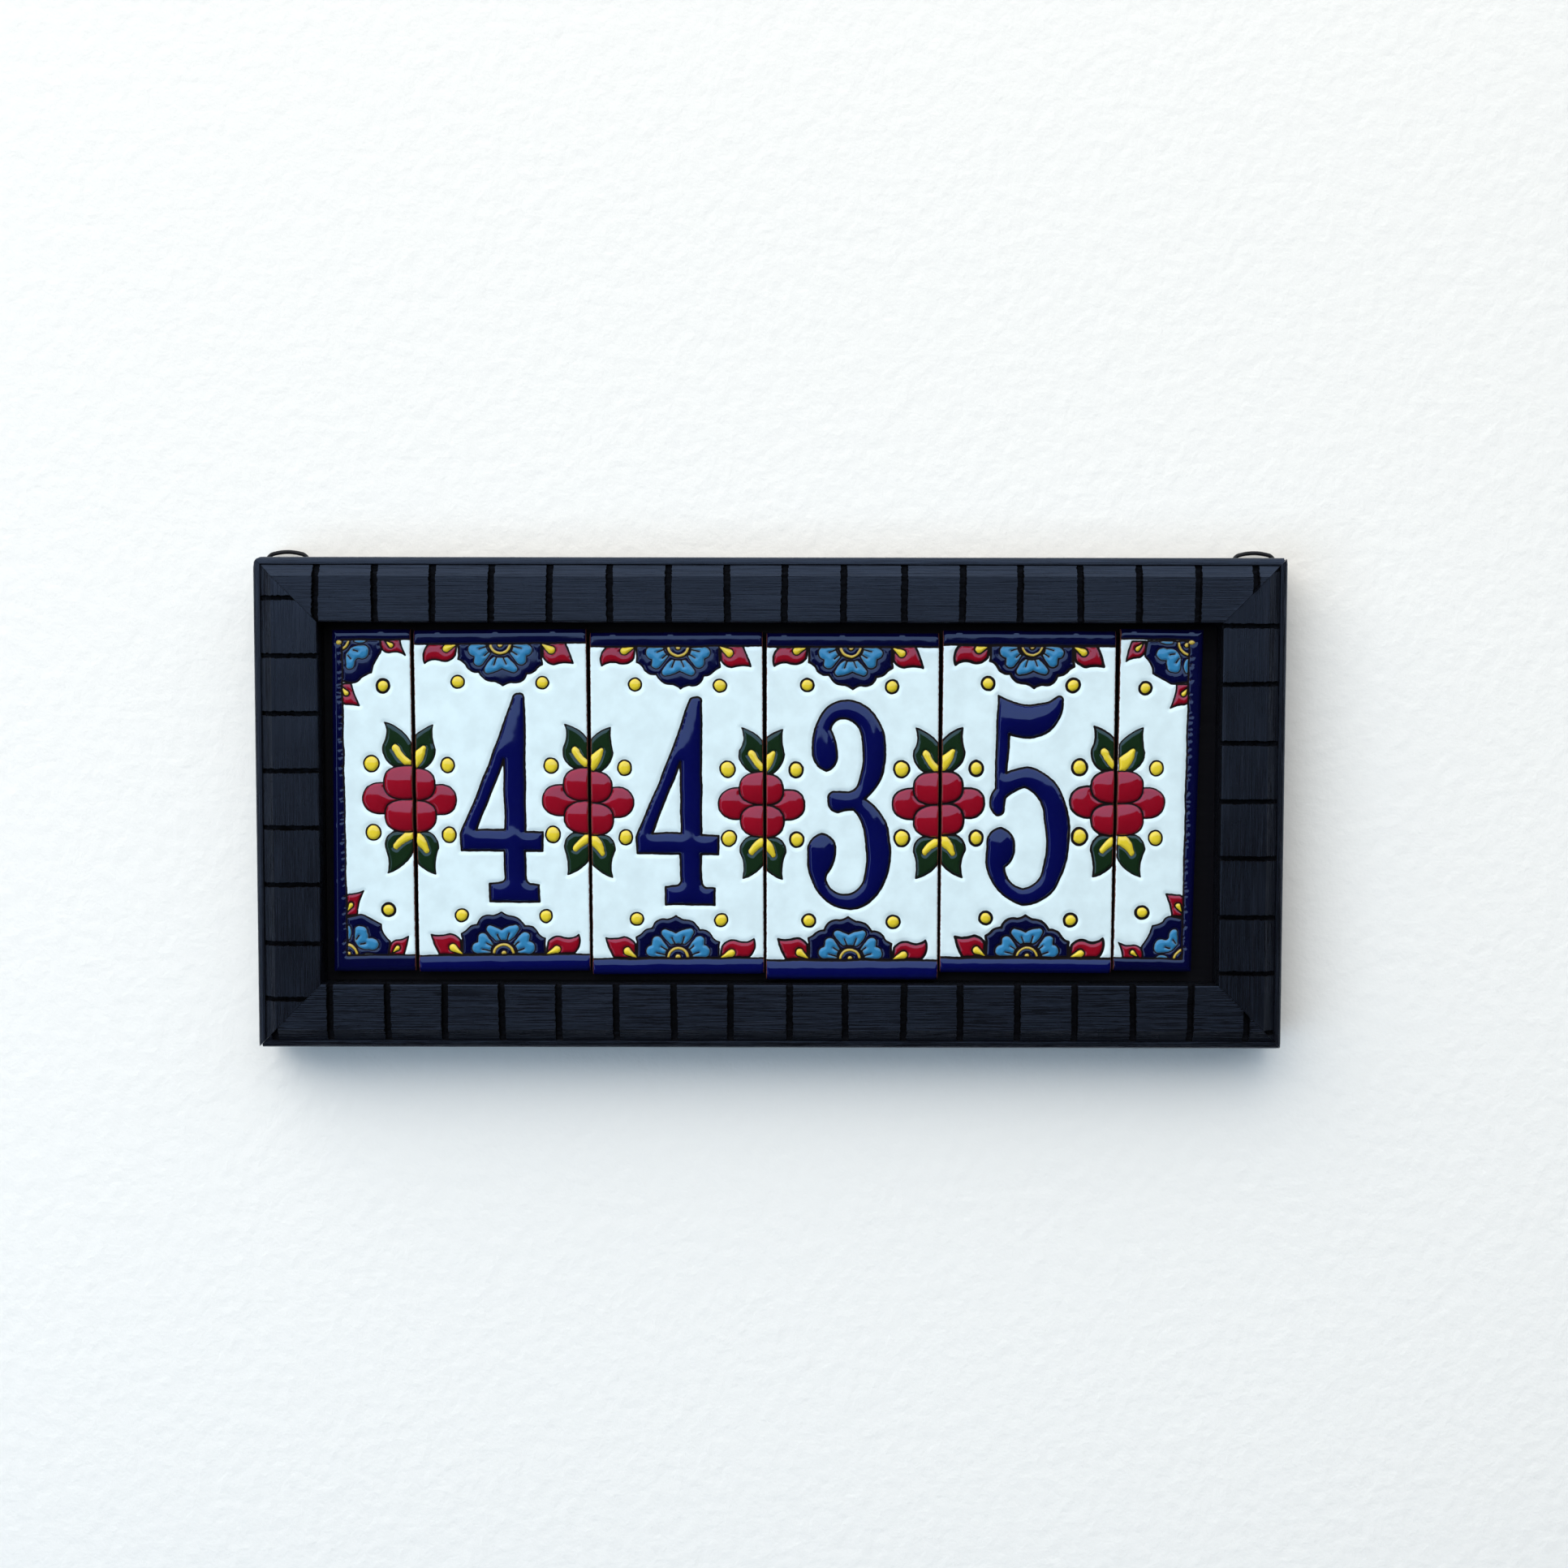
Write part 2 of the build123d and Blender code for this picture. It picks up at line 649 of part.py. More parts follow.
for name, side in (("left", -1), ("right", 1)):
    with BuildPart() as strap:
        with BuildSketch(Plane((side * hanger_x, 0, pivot_z), back, (1, 0, 0))):
            with BuildLine():
                Line((0, -strap_length), (0, 0))
                ThreePointArc((0, 0), (ring_centre_y, ring_centre_y), (2 * ring_centre_y, 0))
                Polyline(
                    (2 * ring_centre_y, 0),
                    (strap_back_y, -fold_taper),
                    (strap_back_y, -strap_length),
                    (0, -strap_length),
                )
            make_face()
            with Locations((ring_centre_y, 0)):
                Circle(ring_wire_radius + ring_clearance, mode=Mode.SUBTRACT)
        extrude(amount=strap_width / 2, both=True)
        fillet(strap.edges().filter_by(Axis.Y).group_by(Axis.Z)[0], strap_end_radius)
        with BuildSketch(Plane((side * hanger_x, strap_back_y, screw_z), (1, 0, 0), back)):
            Circle(screw_shank_radius + fastener_clearance)
        extrude(amount=-strap_back_y, mode=Mode.SUBTRACT)
    save(strap.part, f"hanger_strap_{name}")

    lean = math.radians(ring_lean)
    ring_facing = (0, -math.cos(lean), -math.sin(lean))
    ring_plane = Plane((side * hanger_x, ring_centre_y, pivot_z), (1, 0, 0), ring_facing)
    crown_turn = math.atan(2 * ring_crown / ring_top_width)
    crown_tip = ring_height - ring_wire_radius + ring_crown_radius * (1 / math.cos(crown_turn) - 1)
    shoulder = (ring_top_width / 2, crown_tip - ring_crown)
    bends = [ring_bend_radius, ring_corner_radius, ring_crown_radius, ring_corner_radius, ring_bend_radius]
    with BuildPart() as ring:
        with BuildLine(ring_plane) as wire:
            FilletPolyline(
                (ring_end_gap / 2, 0),
                (ring_bar_length / 2, 0),
                shoulder,
                (0, crown_tip),
                (-shoulder[0], shoulder[1]),
                (-ring_bar_length / 2, 0),
                (-ring_end_gap / 2, 0),
                radius=bends,
            )
        with BuildSketch(Plane(wire.line @ 0, z_dir=wire.line % 0)):
            Circle(ring_wire_radius)
        sweep()
    save(ring.part, f"hanger_ring_{name}")

with BuildPart() as hanger_screws:
    for side in (-1, 1):
        seat = Vector(side * hanger_x, strap_back_y, screw_z)
        dome = (screw_head_radius * math.sqrt(0.5), -screw_head_height * math.sqrt(0.5))
        with BuildSketch(Plane(seat, (1, 0, 0), (0, 0, -1))):
            with BuildLine():
                ThreePointArc((0, -screw_head_height), dome, (screw_head_radius, 0))
                Polyline(
                    (screw_head_radius, 0),
                    (screw_shank_radius, 0),
                    (screw_shank_radius, screw_length - screw_tip_length),
                    (0, screw_length),
                    (0, -screw_head_height),
                )
            make_face()
        revolve(axis=Axis(seat, back))
        with BuildSketch(Plane(seat + Vector(0, screw_head_height, 0), (1, 0, 0), back)):
            Rectangle(2 * screw_head_radius, screw_slot_width, rotation=side * 25)
        extrude(amount=-screw_slot_depth, mode=Mode.SUBTRACT)
save(hanger_screws.part, "hanger_screws")
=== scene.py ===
import math

import bpy
import numpy as np
from bpy.props import FloatProperty, FloatVectorProperty, IntProperty, PointerProperty
from mathutils import Matrix, Vector


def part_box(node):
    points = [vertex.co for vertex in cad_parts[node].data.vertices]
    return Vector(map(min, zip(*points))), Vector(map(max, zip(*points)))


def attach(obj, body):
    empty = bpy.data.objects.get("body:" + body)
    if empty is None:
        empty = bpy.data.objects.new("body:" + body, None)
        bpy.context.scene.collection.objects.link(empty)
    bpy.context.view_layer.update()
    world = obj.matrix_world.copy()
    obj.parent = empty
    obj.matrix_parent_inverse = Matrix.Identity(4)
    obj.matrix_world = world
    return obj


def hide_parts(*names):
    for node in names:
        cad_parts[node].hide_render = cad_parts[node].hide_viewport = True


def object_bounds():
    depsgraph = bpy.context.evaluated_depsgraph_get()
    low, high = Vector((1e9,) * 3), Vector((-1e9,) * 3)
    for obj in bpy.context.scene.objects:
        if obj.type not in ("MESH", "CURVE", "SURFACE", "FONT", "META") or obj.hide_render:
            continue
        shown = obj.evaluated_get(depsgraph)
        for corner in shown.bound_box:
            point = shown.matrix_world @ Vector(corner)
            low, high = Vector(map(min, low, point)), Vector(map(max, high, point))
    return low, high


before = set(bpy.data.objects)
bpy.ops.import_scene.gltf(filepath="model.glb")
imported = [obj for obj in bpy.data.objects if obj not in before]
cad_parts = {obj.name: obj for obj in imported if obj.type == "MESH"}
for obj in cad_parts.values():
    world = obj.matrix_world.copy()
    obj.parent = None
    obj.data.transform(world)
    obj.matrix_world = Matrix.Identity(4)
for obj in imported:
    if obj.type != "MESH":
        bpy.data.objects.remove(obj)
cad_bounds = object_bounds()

bl_info = {
    "name": "Tile House Number Plaque",
    "version": (1, 0, 0),
    "blender": (4, 5, 0),
    "location": "View3D > Sidebar > Plaque",
    "description": "Glazed relief tiles in a saw-notched black wooden frame",
    "category": "Object",
}

MM = 0.001
BODY = "plaque"
HOUSE_NUMBER = "4435"
GLAZES = ("white", "cobalt", "navy", "red", "yellow", "green", "sky", "gold")

# Distance in millimetres round a glaze field within which depths are worked out
REACH = 3.5

rail_low, rail_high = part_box("top_rail")
outer_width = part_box("right_stile")[1].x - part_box("left_stile")[0].x
outer_height = rail_high.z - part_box("bottom_rail")[0].z


def length(name, text, millimetres):
    """A size in the sidebar, written in millimetres and kept in metres."""
    return FloatProperty(
        name=name, description=text, default=millimetres * MM, unit="LENGTH", subtype="DISTANCE"
    )


def colour(name, text, red, green, blue):
    """A colour in the sidebar, in linear light."""
    return FloatVectorProperty(
        name=name, description=text, default=(red, green, blue), subtype="COLOR", min=0, max=1
    )


class PlaqueSizes(bpy.types.PropertyGroup):
    """Sizes of the moulding and of the relief on the tiles"""

    rail_width: length("Rail width", "Width of the moulding across its face", (rail_high.z - rail_low.z) / MM)
    frame_depth: length("Frame depth", "Depth of the moulding from the wall to its face", -rail_low.y / MM)
    lip_depth: length("Lip depth", "Depth of the inner wall between face and board", 10.5)
    rabbet_width: length("Rabbet width", "Width of the step that holds the board", 6.0)
    bead_width: length("Bead width", "Width of the round bead along the outer edge", 2.2)
    bead_drop: length("Bead drop", "Fall of the bead to the outer side", 1.4)
    quirk_width: length("Quirk width", "Width of the groove inside the bead", 0.5)
    quirk_depth: length("Quirk depth", "Depth of the groove inside the bead", 0.4)
    shoulder_width: length("Shoulder width", "Width of the hollow between face and bead", 3.2)
    shoulder_drop: length("Shoulder drop", "Fall of the hollow", 1.8)
    shoulder_hollow: length("Shoulder hollow", "Sag of the hollow", 0.1)
    arris_radius: length("Arris radius", "Rounding of the inner edge of the face", 0.4)
    mitre_gap: length("Mitre gap", "Open joint at each corner", 0.1)
    notch_width: length("Notch width", "Width of a saw notch in a rail", 1.9)
    notch_depth: length("Notch depth", "Depth of a saw notch", 3.0)
    tile_thickness: length("Tile thickness", "Thickness of a tile under its relief", 6.0)
    top_bar: length("Top bar", "Height of the bar along the top of a number tile", 3.5)
    bottom_bar: length("Bottom bar", "Height of the bar along the bottom of a number tile", 4.6)
    end_top_bar: length("End top bar", "Height of the bar along the top of an end tile", 2.8)
    line_width: length("Line width", "Width of the dark line round each glaze field", 0.55)
    line_sink: length("Line sink", "Depth of the dark line below the white glaze", 0.28)
    roll_reach: length("Edge roll", "Width of the glaze that rolls over an outer edge", 1.9)
    roll_radius: length("Edge radius", "Radius of the rolled outer edge", 2.4)
    grid_pitch: length("Relief pitch", "Spacing of the points that carry the relief", 0.28)
    seed: IntProperty(name="Seed", description="Start value for the hand-made unevenness", default=7)


class PlaqueColours(bpy.types.PropertyGroup):
    """Colours of glaze, clay, wood, paint and metal"""

    white: colour("White", "Ground glaze", 0.69, 0.85, 0.93)
    cobalt: colour("Cobalt", "Numerals and bottom bars", 0.0014, 0.0020, 0.066)
    # Navy is the rosette ground; on the top bars and the end tiles' borders it also stands for painted shade
    # from the frame
    navy: colour("Navy", "Rosette ground and borders", 0.0012, 0.0012, 0.030)
    red: colour("Red", "Berries and flame leaves", 0.25, 0.003, 0.013)
    yellow: colour("Yellow", "Dots and leaf hearts", 0.74, 0.59, 0.035)
    green: colour("Green", "Leaves", 0.007, 0.022, 0.007)
    sky: colour("Light blue", "Petals", 0.032, 0.20, 0.42)
    line: colour("Line", "Dark outline between glazes", 0.0022, 0.0014, 0.0024)
    clay: colour("Clay", "Bare sides of the tiles", 0.14, 0.045, 0.030)
    stain: colour("Stain", "Black stain on the wood", 0.0030, 0.0032, 0.0046)
    board: colour("Board", "Black paint on the board", 0.0015, 0.0015, 0.0035)
    back: colour("Board back", "Bare back of the board", 0.17, 0.10, 0.055)
    hanger: colour("Hanger", "Blackened steel of the hangers", 0.03, 0.03, 0.034)
    steel: colour("Steel", "Bare steel of nails and points", 0.42, 0.42, 0.43)
    wall: colour("Wall", "Wall behind the plaque", 0.92, 0.935, 0.945)


class Signal:
    """A socket of a material, with arithmetic that adds Math nodes."""

    def __init__(self, finish, socket):
        self.finish = finish
        self.socket = socket

    def __add__(self, other):
        return self.finish.math("ADD", self, other)

    def __radd__(self, other):
        return self.finish.math("ADD", other, self)

    def __sub__(self, other):
        return self.finish.math("SUBTRACT", self, other)

    def __rsub__(self, other):
        return self.finish.math("SUBTRACT", other, self)

    def __mul__(self, other):
        return self.finish.math("MULTIPLY", self, other)

    def __rmul__(self, other):
        return self.finish.math("MULTIPLY", other, self)

    def step(self, low, high):
        """A smooth step from 0 to 1 as the signal goes from low to high."""
        values = {"Value": self, "From Min": low, "From Max": high}
        return self.finish.node("ShaderNodeMapRange", {"interpolation_type": "SMOOTHSTEP"}, values)["Result"]


class NodeOutputs:
    """The outputs of a node, by name."""

    def __init__(self, finish, node):
        self.finish = finish
        self.node = node

    def __getitem__(self, name):
        return Signal(self.finish, self.node.outputs[name])


class Finish:
    """A material built from nodes."""

    def __init__(self, name):
        self.material = bpy.data.materials.new(name)
        self.material.use_nodes = True
        self.tree = self.material.node_tree
        self.tree.nodes.clear()

    def feed(self, socket, value):
        """Link a signal to a socket, or set its value."""
        if isinstance(value, Signal):
            self.tree.links.new(value.socket, socket)
        elif socket.type == "RGBA":
            socket.default_value = (*value[:3], 1)
        else:
            socket.default_value = value

    def node(self, kind, settings=None, values=None):
        """Add one node: first its settings, then the values or links of its sockets."""
        made = self.tree.nodes.new(kind)
        for key, value in (settings or {}).items():
            setattr(made, key, value)
        for key, value in (values or {}).items():
            self.feed(made.inputs[key], value)
        return NodeOutputs(self, made)

    def math(self, operation, first, second):
        return self.node("ShaderNodeMath", {"operation": operation}, {0: first, 1: second})["Value"]

    def mix(self, factor, first, second):
        """A colour between two others."""
        values = {0: factor, 6: first, 7: second}
        return Signal(self, self.node("ShaderNodeMix", {"data_type": "RGBA"}, values).node.outputs[2])

    def attribute(self, name):
        """The three numbers that the mesh carries under this name."""
        vector = self.node("ShaderNodeAttribute", {"attribute_name": name})["Vector"]
        parts = self.parts(vector)
        return vector, parts["X"], parts["Y"], parts["Z"]

    def parts(self, vector):
        """The X, Y and Z of a vector."""
        return self.node("ShaderNodeSeparateXYZ", values={0: vector})

    def place(self, scale=(1, 1, 1), source=None):
        """Object coordinates, or another vector, stretched."""
        if source is None:
            source = self.node("ShaderNodeTexCoord")["Object"]
        return self.node("ShaderNodeVectorMath", {"operation": "MULTIPLY"}, {0: source, 1: scale})["Vector"]

    def noise(self, vector, scale, detail=3.0, roughness=0.55, distortion=0.0):
        values = {"Vector": vector, "Scale": scale, "Detail": detail}
        values |= {"Roughness": roughness, "Distortion": distortion}
        return self.node("ShaderNodeTexNoise", values=values)["Fac"]

    def bump(self, height, distance, strength=1.0):
        values = {"Height": height, "Distance": distance, "Strength": strength}
        return self.node("ShaderNodeBump", values=values)["Normal"]

    def coating(self, **values):
        """The Principled shader. Names have _ for a space."""
        named = {key.replace("_", " "): value for key, value in values.items()}
        return self.node("ShaderNodeBsdfPrincipled", values=named)["BSDF"]

    def blend(self, factor, first, second):
        """A shader between two others."""
        return self.node("ShaderNodeMixShader", values={0: factor, 1: first, 2: second})["Shader"]

    def surface(self, shader):
        """Close the material with its shader."""
        self.node("ShaderNodeOutputMaterial", values={"Surface": shader})
        return self.material


def sizes():
    return bpy.context.scene.plaque_sizes


def colours():
    return bpy.context.scene.plaque_colours


def toned(tint, share):
    """A colour made darker or lighter, up to white."""
    return tuple(min(1, share * c) for c in tint)


def mesh_object(name, points, faces, smooth=True):
    """A mesh object in the row frame, linked to the scene."""
    mesh = bpy.data.meshes.new(name)
    mesh.from_pydata(points, [], faces)
    mesh.polygons.foreach_set("use_smooth", np.full(len(mesh.polygons), smooth))
    mesh.update()
    made = bpy.data.objects.new(name, mesh)
    bpy.context.scene.collection.objects.link(made)
    return made


def carry(made, name, values):
    """Give a mesh three numbers at every point for its material to read."""
    layer = made.data.attributes.new(name, "FLOAT_VECTOR", "POINT")
    layer.data.foreach_set("vector", np.ascontiguousarray(values, np.float32).ravel())


def ripple(u, v, seed, wavelength, waves=14):
    """Smooth unevenness between about -1 and 1, the sum of waves in every direction."""
    chance = np.random.default_rng(seed)
    total = np.zeros_like(u)
    for _ in range(waves):
        turn = chance.uniform(0, 2 * math.pi)
        number = 2 * math.pi / (wavelength * chance.uniform(0.6, 1.7))
        total += np.sin(number * (u * math.cos(turn) + v * math.sin(turn)) + chance.uniform(0, 2 * math.pi))
    return total / math.sqrt(waves)


# Outlines of the glaze fields, in millimetres on the tile's face


def arc(start, via, end, pitch=0.4):
    """Points along the circle through three points, without the first."""
    (ax, ay), (bx, by), (cx, cy) = start, via, end
    twist = 2 * (ax * (by - cy) + bx * (cy - ay) + cx * (ay - by))
    if abs(twist) < 1e-6:
        return [end]
    a2, b2, c2 = ax * ax + ay * ay, bx * bx + by * by, cx * cx + cy * cy
    ox = (a2 * (by - cy) + b2 * (cy - ay) + c2 * (ay - by)) / twist
    oy = (a2 * (cx - bx) + b2 * (ax - cx) + c2 * (bx - ax)) / twist
    radius = math.hypot(ax - ox, ay - oy)
    first = math.atan2(ay - oy, ax - ox)
    sweep = (math.atan2(cy - oy, cx - ox) - first) % (2 * math.pi)
    if (math.atan2(by - oy, bx - ox) - first) % (2 * math.pi) > sweep:
        sweep -= 2 * math.pi
    count = max(2, int(abs(sweep) * radius / pitch))
    turns = first + sweep * np.arange(1, count + 1) / count
    return [(ox + radius * math.cos(t), oy + radius * math.sin(t)) for t in turns]


def outline(start, *steps):
    """A closed outline. A step (x, y) is straight; (x, y, x, y) is an arc through one point to another."""
    points = [start]
    for step in steps:
        points += [step] if len(step) == 2 else arc(points[-1], step[:2], step[2:])
    return np.array(points)


def ellipse(x, y, across, up, plump=2.0):
    """An oval; it grows squarer where plump is over 2."""
    turn = np.arange(0, 2 * math.pi, math.pi / 24)
    c, s = np.cos(turn), np.sin(turn)
    swell = (np.abs(c) ** plump + np.abs(s) ** plump) ** (-1 / plump)
    return np.stack([x + across * c * swell, y + up * s * swell], 1)


def teardrop(tip, middle, radius):
    """A drop with a point at its tip and a round end about its middle."""
    tip, middle = np.array(tip), np.array(middle)
    reach = np.linalg.norm(tip - middle)
    facing = math.atan2(*(tip - middle)[::-1])
    open_turn = math.acos(min(1, radius / reach))
    turns = facing + np.linspace(open_turn, 2 * math.pi - open_turn, 28)
    return np.vstack([tip, middle + radius * np.stack([np.cos(turns), np.sin(turns)], 1)])


def vein(start, end, width):
    """A straight dark stroke across a petal, as a field."""
    start, end = np.array(start), np.array(end)
    side = (end - start)[::-1] * (-1, 1) * width / 2 / np.linalg.norm(end - start)
    return "line", np.array([start + side, start - side, end - side, end + side]), 0


def field(glaze, line, start, *steps):
    """A glaze field: its glaze, its outline and the weight of the dark line round it."""
    return glaze, outline(start, *steps), line


def placed(fields, x=0.0, y=0.0, turn=0.0, mirror=1):
    """Fields mirrored, turned and moved to their place on the tile."""
    c, s = math.cos(math.radians(turn)), math.sin(math.radians(turn))
    moved = []
    for glaze, loop, line in fields:
        across, up = loop[:, 0] * mirror, loop[:, 1]
        moved.append((glaze, np.stack([x + c * across - s * up, y + s * across + c * up], 1), line))
    return moved


# Weights of the dark line, as shares of the line width
HEAVY, NUMERAL, THICK, THIN, FINE, NONE = 1.5, 1.2, 1.0, 0.8, 0.6, 0.15

# Widths of the veins in the petals
PETAL_VEIN, CORNER_VEIN = 0.42, 0.45

# Half rosette, flame leaves and dots on the middle of a bar; each outline is the middle of a line
bar_fields = [
    field(
        "navy", THICK, (12.8, 0), (12.7, 3.4), (12.9, 4.9), (11.6, 5.5, 10.7, 6.4), (9.2, 8.2, 6.6, 8.6),
        (5.7, 10.0, 4.4, 11.2), (2.9, 11.65, 1.7, 11.75), (0.3, 12.4, -0.75, 13.1),
        (-2.0, 12.35, -3.5, 11.95), (-5.5, 12.0, -7.0, 11.2), (-7.7, 10.2, -8.05, 9.15),
        (-10.0, 8.75, -11.3, 7.6), (-12.1, 7.0, -13.1, 6.5), (-12.95, 5.6, -12.75, 5.0), (-12.75, 0),
    ),
    field(
        "sky", FINE, (-2.2, 4.0), (-3.6, 5.4, -5.1, 7.2), (-5.0, 8.7, -3.6, 9.0), (-2.0, 8.5, -0.5, 7.8),
        (1.2, 8.7, 3.1, 9.1), (4.8, 8.6, 4.6, 7.0), (3.4, 5.2, 1.9, 4.0), (-0.1, 4.3, -2.2, 4.0),
    ),
    vein((-0.9, 4.2), (-1.85, 6.5), PETAL_VEIN),
    vein((1.05, 4.2), (1.9, 6.7), PETAL_VEIN),
    field(
        "sky", FINE, (2.8, 2.9), (4.1, 4.8), (5.2, 6.2), (6.8, 6.9, 8.3, 5.8), (8.1, 4.0),
        (9.6, 3.1, 10.0, 1.8), (9.3, 0.3, 8.0, -0.1), (4.3, 0.2), (4.0, 1.6, 2.8, 2.9),
    ),
    vein((3.3, 2.4), (4.9, 3.75), PETAL_VEIN),
    vein((3.8, 0.7), (6.6, 1.7), PETAL_VEIN),
    field(
        "sky", FINE, (-2.9, 2.9), (-4.1, 4.8), (-5.1, 6.2), (-6.7, 6.8, -8.1, 5.7), (-8.3, 3.9),
        (-9.8, 3.0, -10.0, 1.5), (-9.0, 0.4, -7.6, 0.2), (-3.9, 0.2), (-3.9, 1.6, -2.9, 2.9),
    ),
    vein((-3.4, 2.3), (-5.4, 3.6), PETAL_VEIN),
    vein((-3.8, 0.8), (-6.9, 1.6), PETAL_VEIN),
    field("gold", THIN, (3.6, -0.1), (-0.1, 3.6, -3.8, -0.1)),
    field("navy", NONE, (2.5, -0.1), (-0.1, 2.5, -2.7, -0.1)),
    ("gold", ellipse(-0.1, 0.3, 0.95, 0.95), FINE),
    field(
        "red", THICK, (-13.2, 0), (-20.0, 0), (-21.4, 2.8, -22.5, 6.3), (-19.8, 6.0, -16.8, 6.5),
        (-14.6, 5.7, -13.3, 4.2),
    ),
    ("yellow", teardrop((-12.2, -0.2), (-15.9, 2.1), 1.3), FINE),
    field(
        "red", THICK, (13.2, 0), (21.8, 0), (23.7, 2.7, 23.5, 5.9), (21.2, 4.85, 18.6, 5.1),
        (16.0, 5.3, 13.7, 3.6),
    ),
    ("yellow", teardrop((12.6, -0.2), (16.5, 1.3), 1.3), FINE),
    ("yellow", ellipse(-12.9, 12.2, 2.0, 2.0), THICK),
    ("yellow", ellipse(13.3, 11.7, 2.0, 2.0), THICK),
]

# Leaves, berries and dots on the left of a joint, measured from the joint and the line between the berries
left_of_joint = [
    field(
        "green", THIN, (1.5, 9.6), (-4.1, 10.4), (-6.9, 13.2, -7.3, 16.9), (-6.2, 20.5, -6.7, 23.9),
        (-3.6, 22.6, 1.5, 17.2),
    ),
    field(
        "yellow", NONE, (1.5, 8.9), (-2.0, 11.7, -4.2, 14.9), (-4.5, 16.5, -3.5, 17.2),
        (-2.6, 16.6, -1.9, 15.2), (-0.7, 13.5, 1.5, 11.9),
    ),
    field(
        "green", THIN, (1.5, -9.0), (-4.6, -10.0), (-6.8, -12.1, -7.15, -14.8),
        (-6.3, -18.9, -6.5, -22.8), (-3.3, -21.5, 1.5, -15.8),
    ),
    field(
        "yellow", NONE, (1.5, -9.0), (-2.4, -11.4, -4.3, -13.6), (-4.5, -15.1, -3.5, -15.7),
        (-2.1, -14.3, 1.5, -12.4),
    ),
    ("red", ellipse(-8.15, 0.4, 5.8, 4.9, 2.2), THIN),
    ("red", ellipse(0, 5.2, 7.4, 5.2, 2.5), THIN),
    ("red", ellipse(0, -5.05, 7.25, 5.05, 2.5), THIN),
    ("yellow", ellipse(-11.1, 11.15, 2.3, 2.5), THICK),
    ("yellow", ellipse(-10.85, -10.3, 2.3, 2.5), THICK),
]

# The same on the right of a joint, where the berries and leaves are narrower
right_of_joint = [
    field(
        "green", THIN, (-1.5, 9.9), (2.4, 9.9), (5.4, 12.6, 6.4, 15.8), (5.6, 20.0, 5.8, 23.5),
        (2.6, 22.1, -1.5, 18.2),
    ),
    field("yellow", NONE, (-1.5, 8.8), (1.8, 11.6, 3.4, 15.8), (3.2, 16.9, 2.3, 16.8), (-1.5, 14.0)),
    field(
        "green", THIN, (-1.5, -9.6), (4.2, -10.0), (6.5, -12.4, 6.95, -14.7), (5.7, -18.9, 5.95, -23.0),
        (3.0, -21.7, -1.5, -17.0),
    ),
    field(
        "yellow", NONE, (-1.5, -8.8), (2.5, -11.7, 3.65, -14.7), (3.4, -16.2, 2.7, -16.3),
        (1.5, -14.9, -1.5, -12.9),
    ),
    ("red", ellipse(7.6, 0.2, 5.2, 4.7, 2.2), THIN),
    ("red", ellipse(0, 5.0, 6.1, 5.0, 2.5), THIN),
    ("red", ellipse(0, -5.0, 6.4, 5.0, 2.5), THIN),
    ("yellow", ellipse(10.1, 11.0, 2.1, 2.35), THICK),
    ("yellow", ellipse(10.25, -10.7, 2.1, 2.35), THICK),
]

# Quarter rosette and flame leaves in an end tile's corner, measured from the corner of the white field
close_corner_fields = [
    field(
        "navy", THICK, (-0.2, 0.2), (12.8, 0.2), (12.9, -2.0, 12.5, -4.2), (11.3, -6.2, 10.2, -8.3),
        (9.6, -10.6), (7.9, -11.0, 6.2, -12.0), (4.9, -13.3, 3.2, -13.5), (1.5, -13.1, -0.2, -12.8),
    ),
    field(
        "sky", FINE, (2.8, -3.2), (4.6, -2.2, 6.6, -1.9), (8.6, -2.4, 8.95, -4.0),
        (8.4, -5.6, 6.5, -6.35), (4.9, -6.6, 4.6, -7.5), (4.2, -8.9, 3.0, -9.55), (1.9, -9.2, 1.65, -8.0),
        (1.5, -6.4, 1.5, -4.8),
    ),
    vein((2.2, -4.9), (3.3, -6.3), CORNER_VEIN),
    vein((3.9, -3.4), (5.6, -3.9), CORNER_VEIN),
    field("sky", FINE, (4.4, -0.1), (8.9, -0.1), (6.7, -1.4, 4.4, -0.9)),
    field("gold", THIN, (-0.2, 0.2), (3.3, 0.2), (2.3, -2.5, -0.2, -3.8)),
    field("navy", NONE, (-0.2, 0.2), (2.4, 0.2), (1.6, -1.8, -0.2, -2.8)),
    ("gold", ellipse(-0.1, -0.9, 1.0, 1.0), FINE),
    field(
        "red", THICK, (12.5, -0.1), (18.5, -0.1), (19.0, -2.3, 20.1, -5.2), (18.0, -4.3, 15.8, -4.3),
        (13.4, -3.7, 12.5, -1.4),
    ),
    ("yellow", teardrop((13.6, -0.3), (15.7, -2.0), 0.9), THIN),
    field(
        "red", THICK, (-0.2, -13.6), (3.3, -13.7), (4.0, -16.3, 5.5, -20.6), (3.2, -20.3, 1.2, -20.2),
        (-0.2, -18.9),
    ),
    ("yellow", teardrop((0.2, -14.3), (1.8, -16.8), 0.9), THIN),
    ("yellow", ellipse(13.0, -14.6, 1.95, 1.95), HEAVY),
]

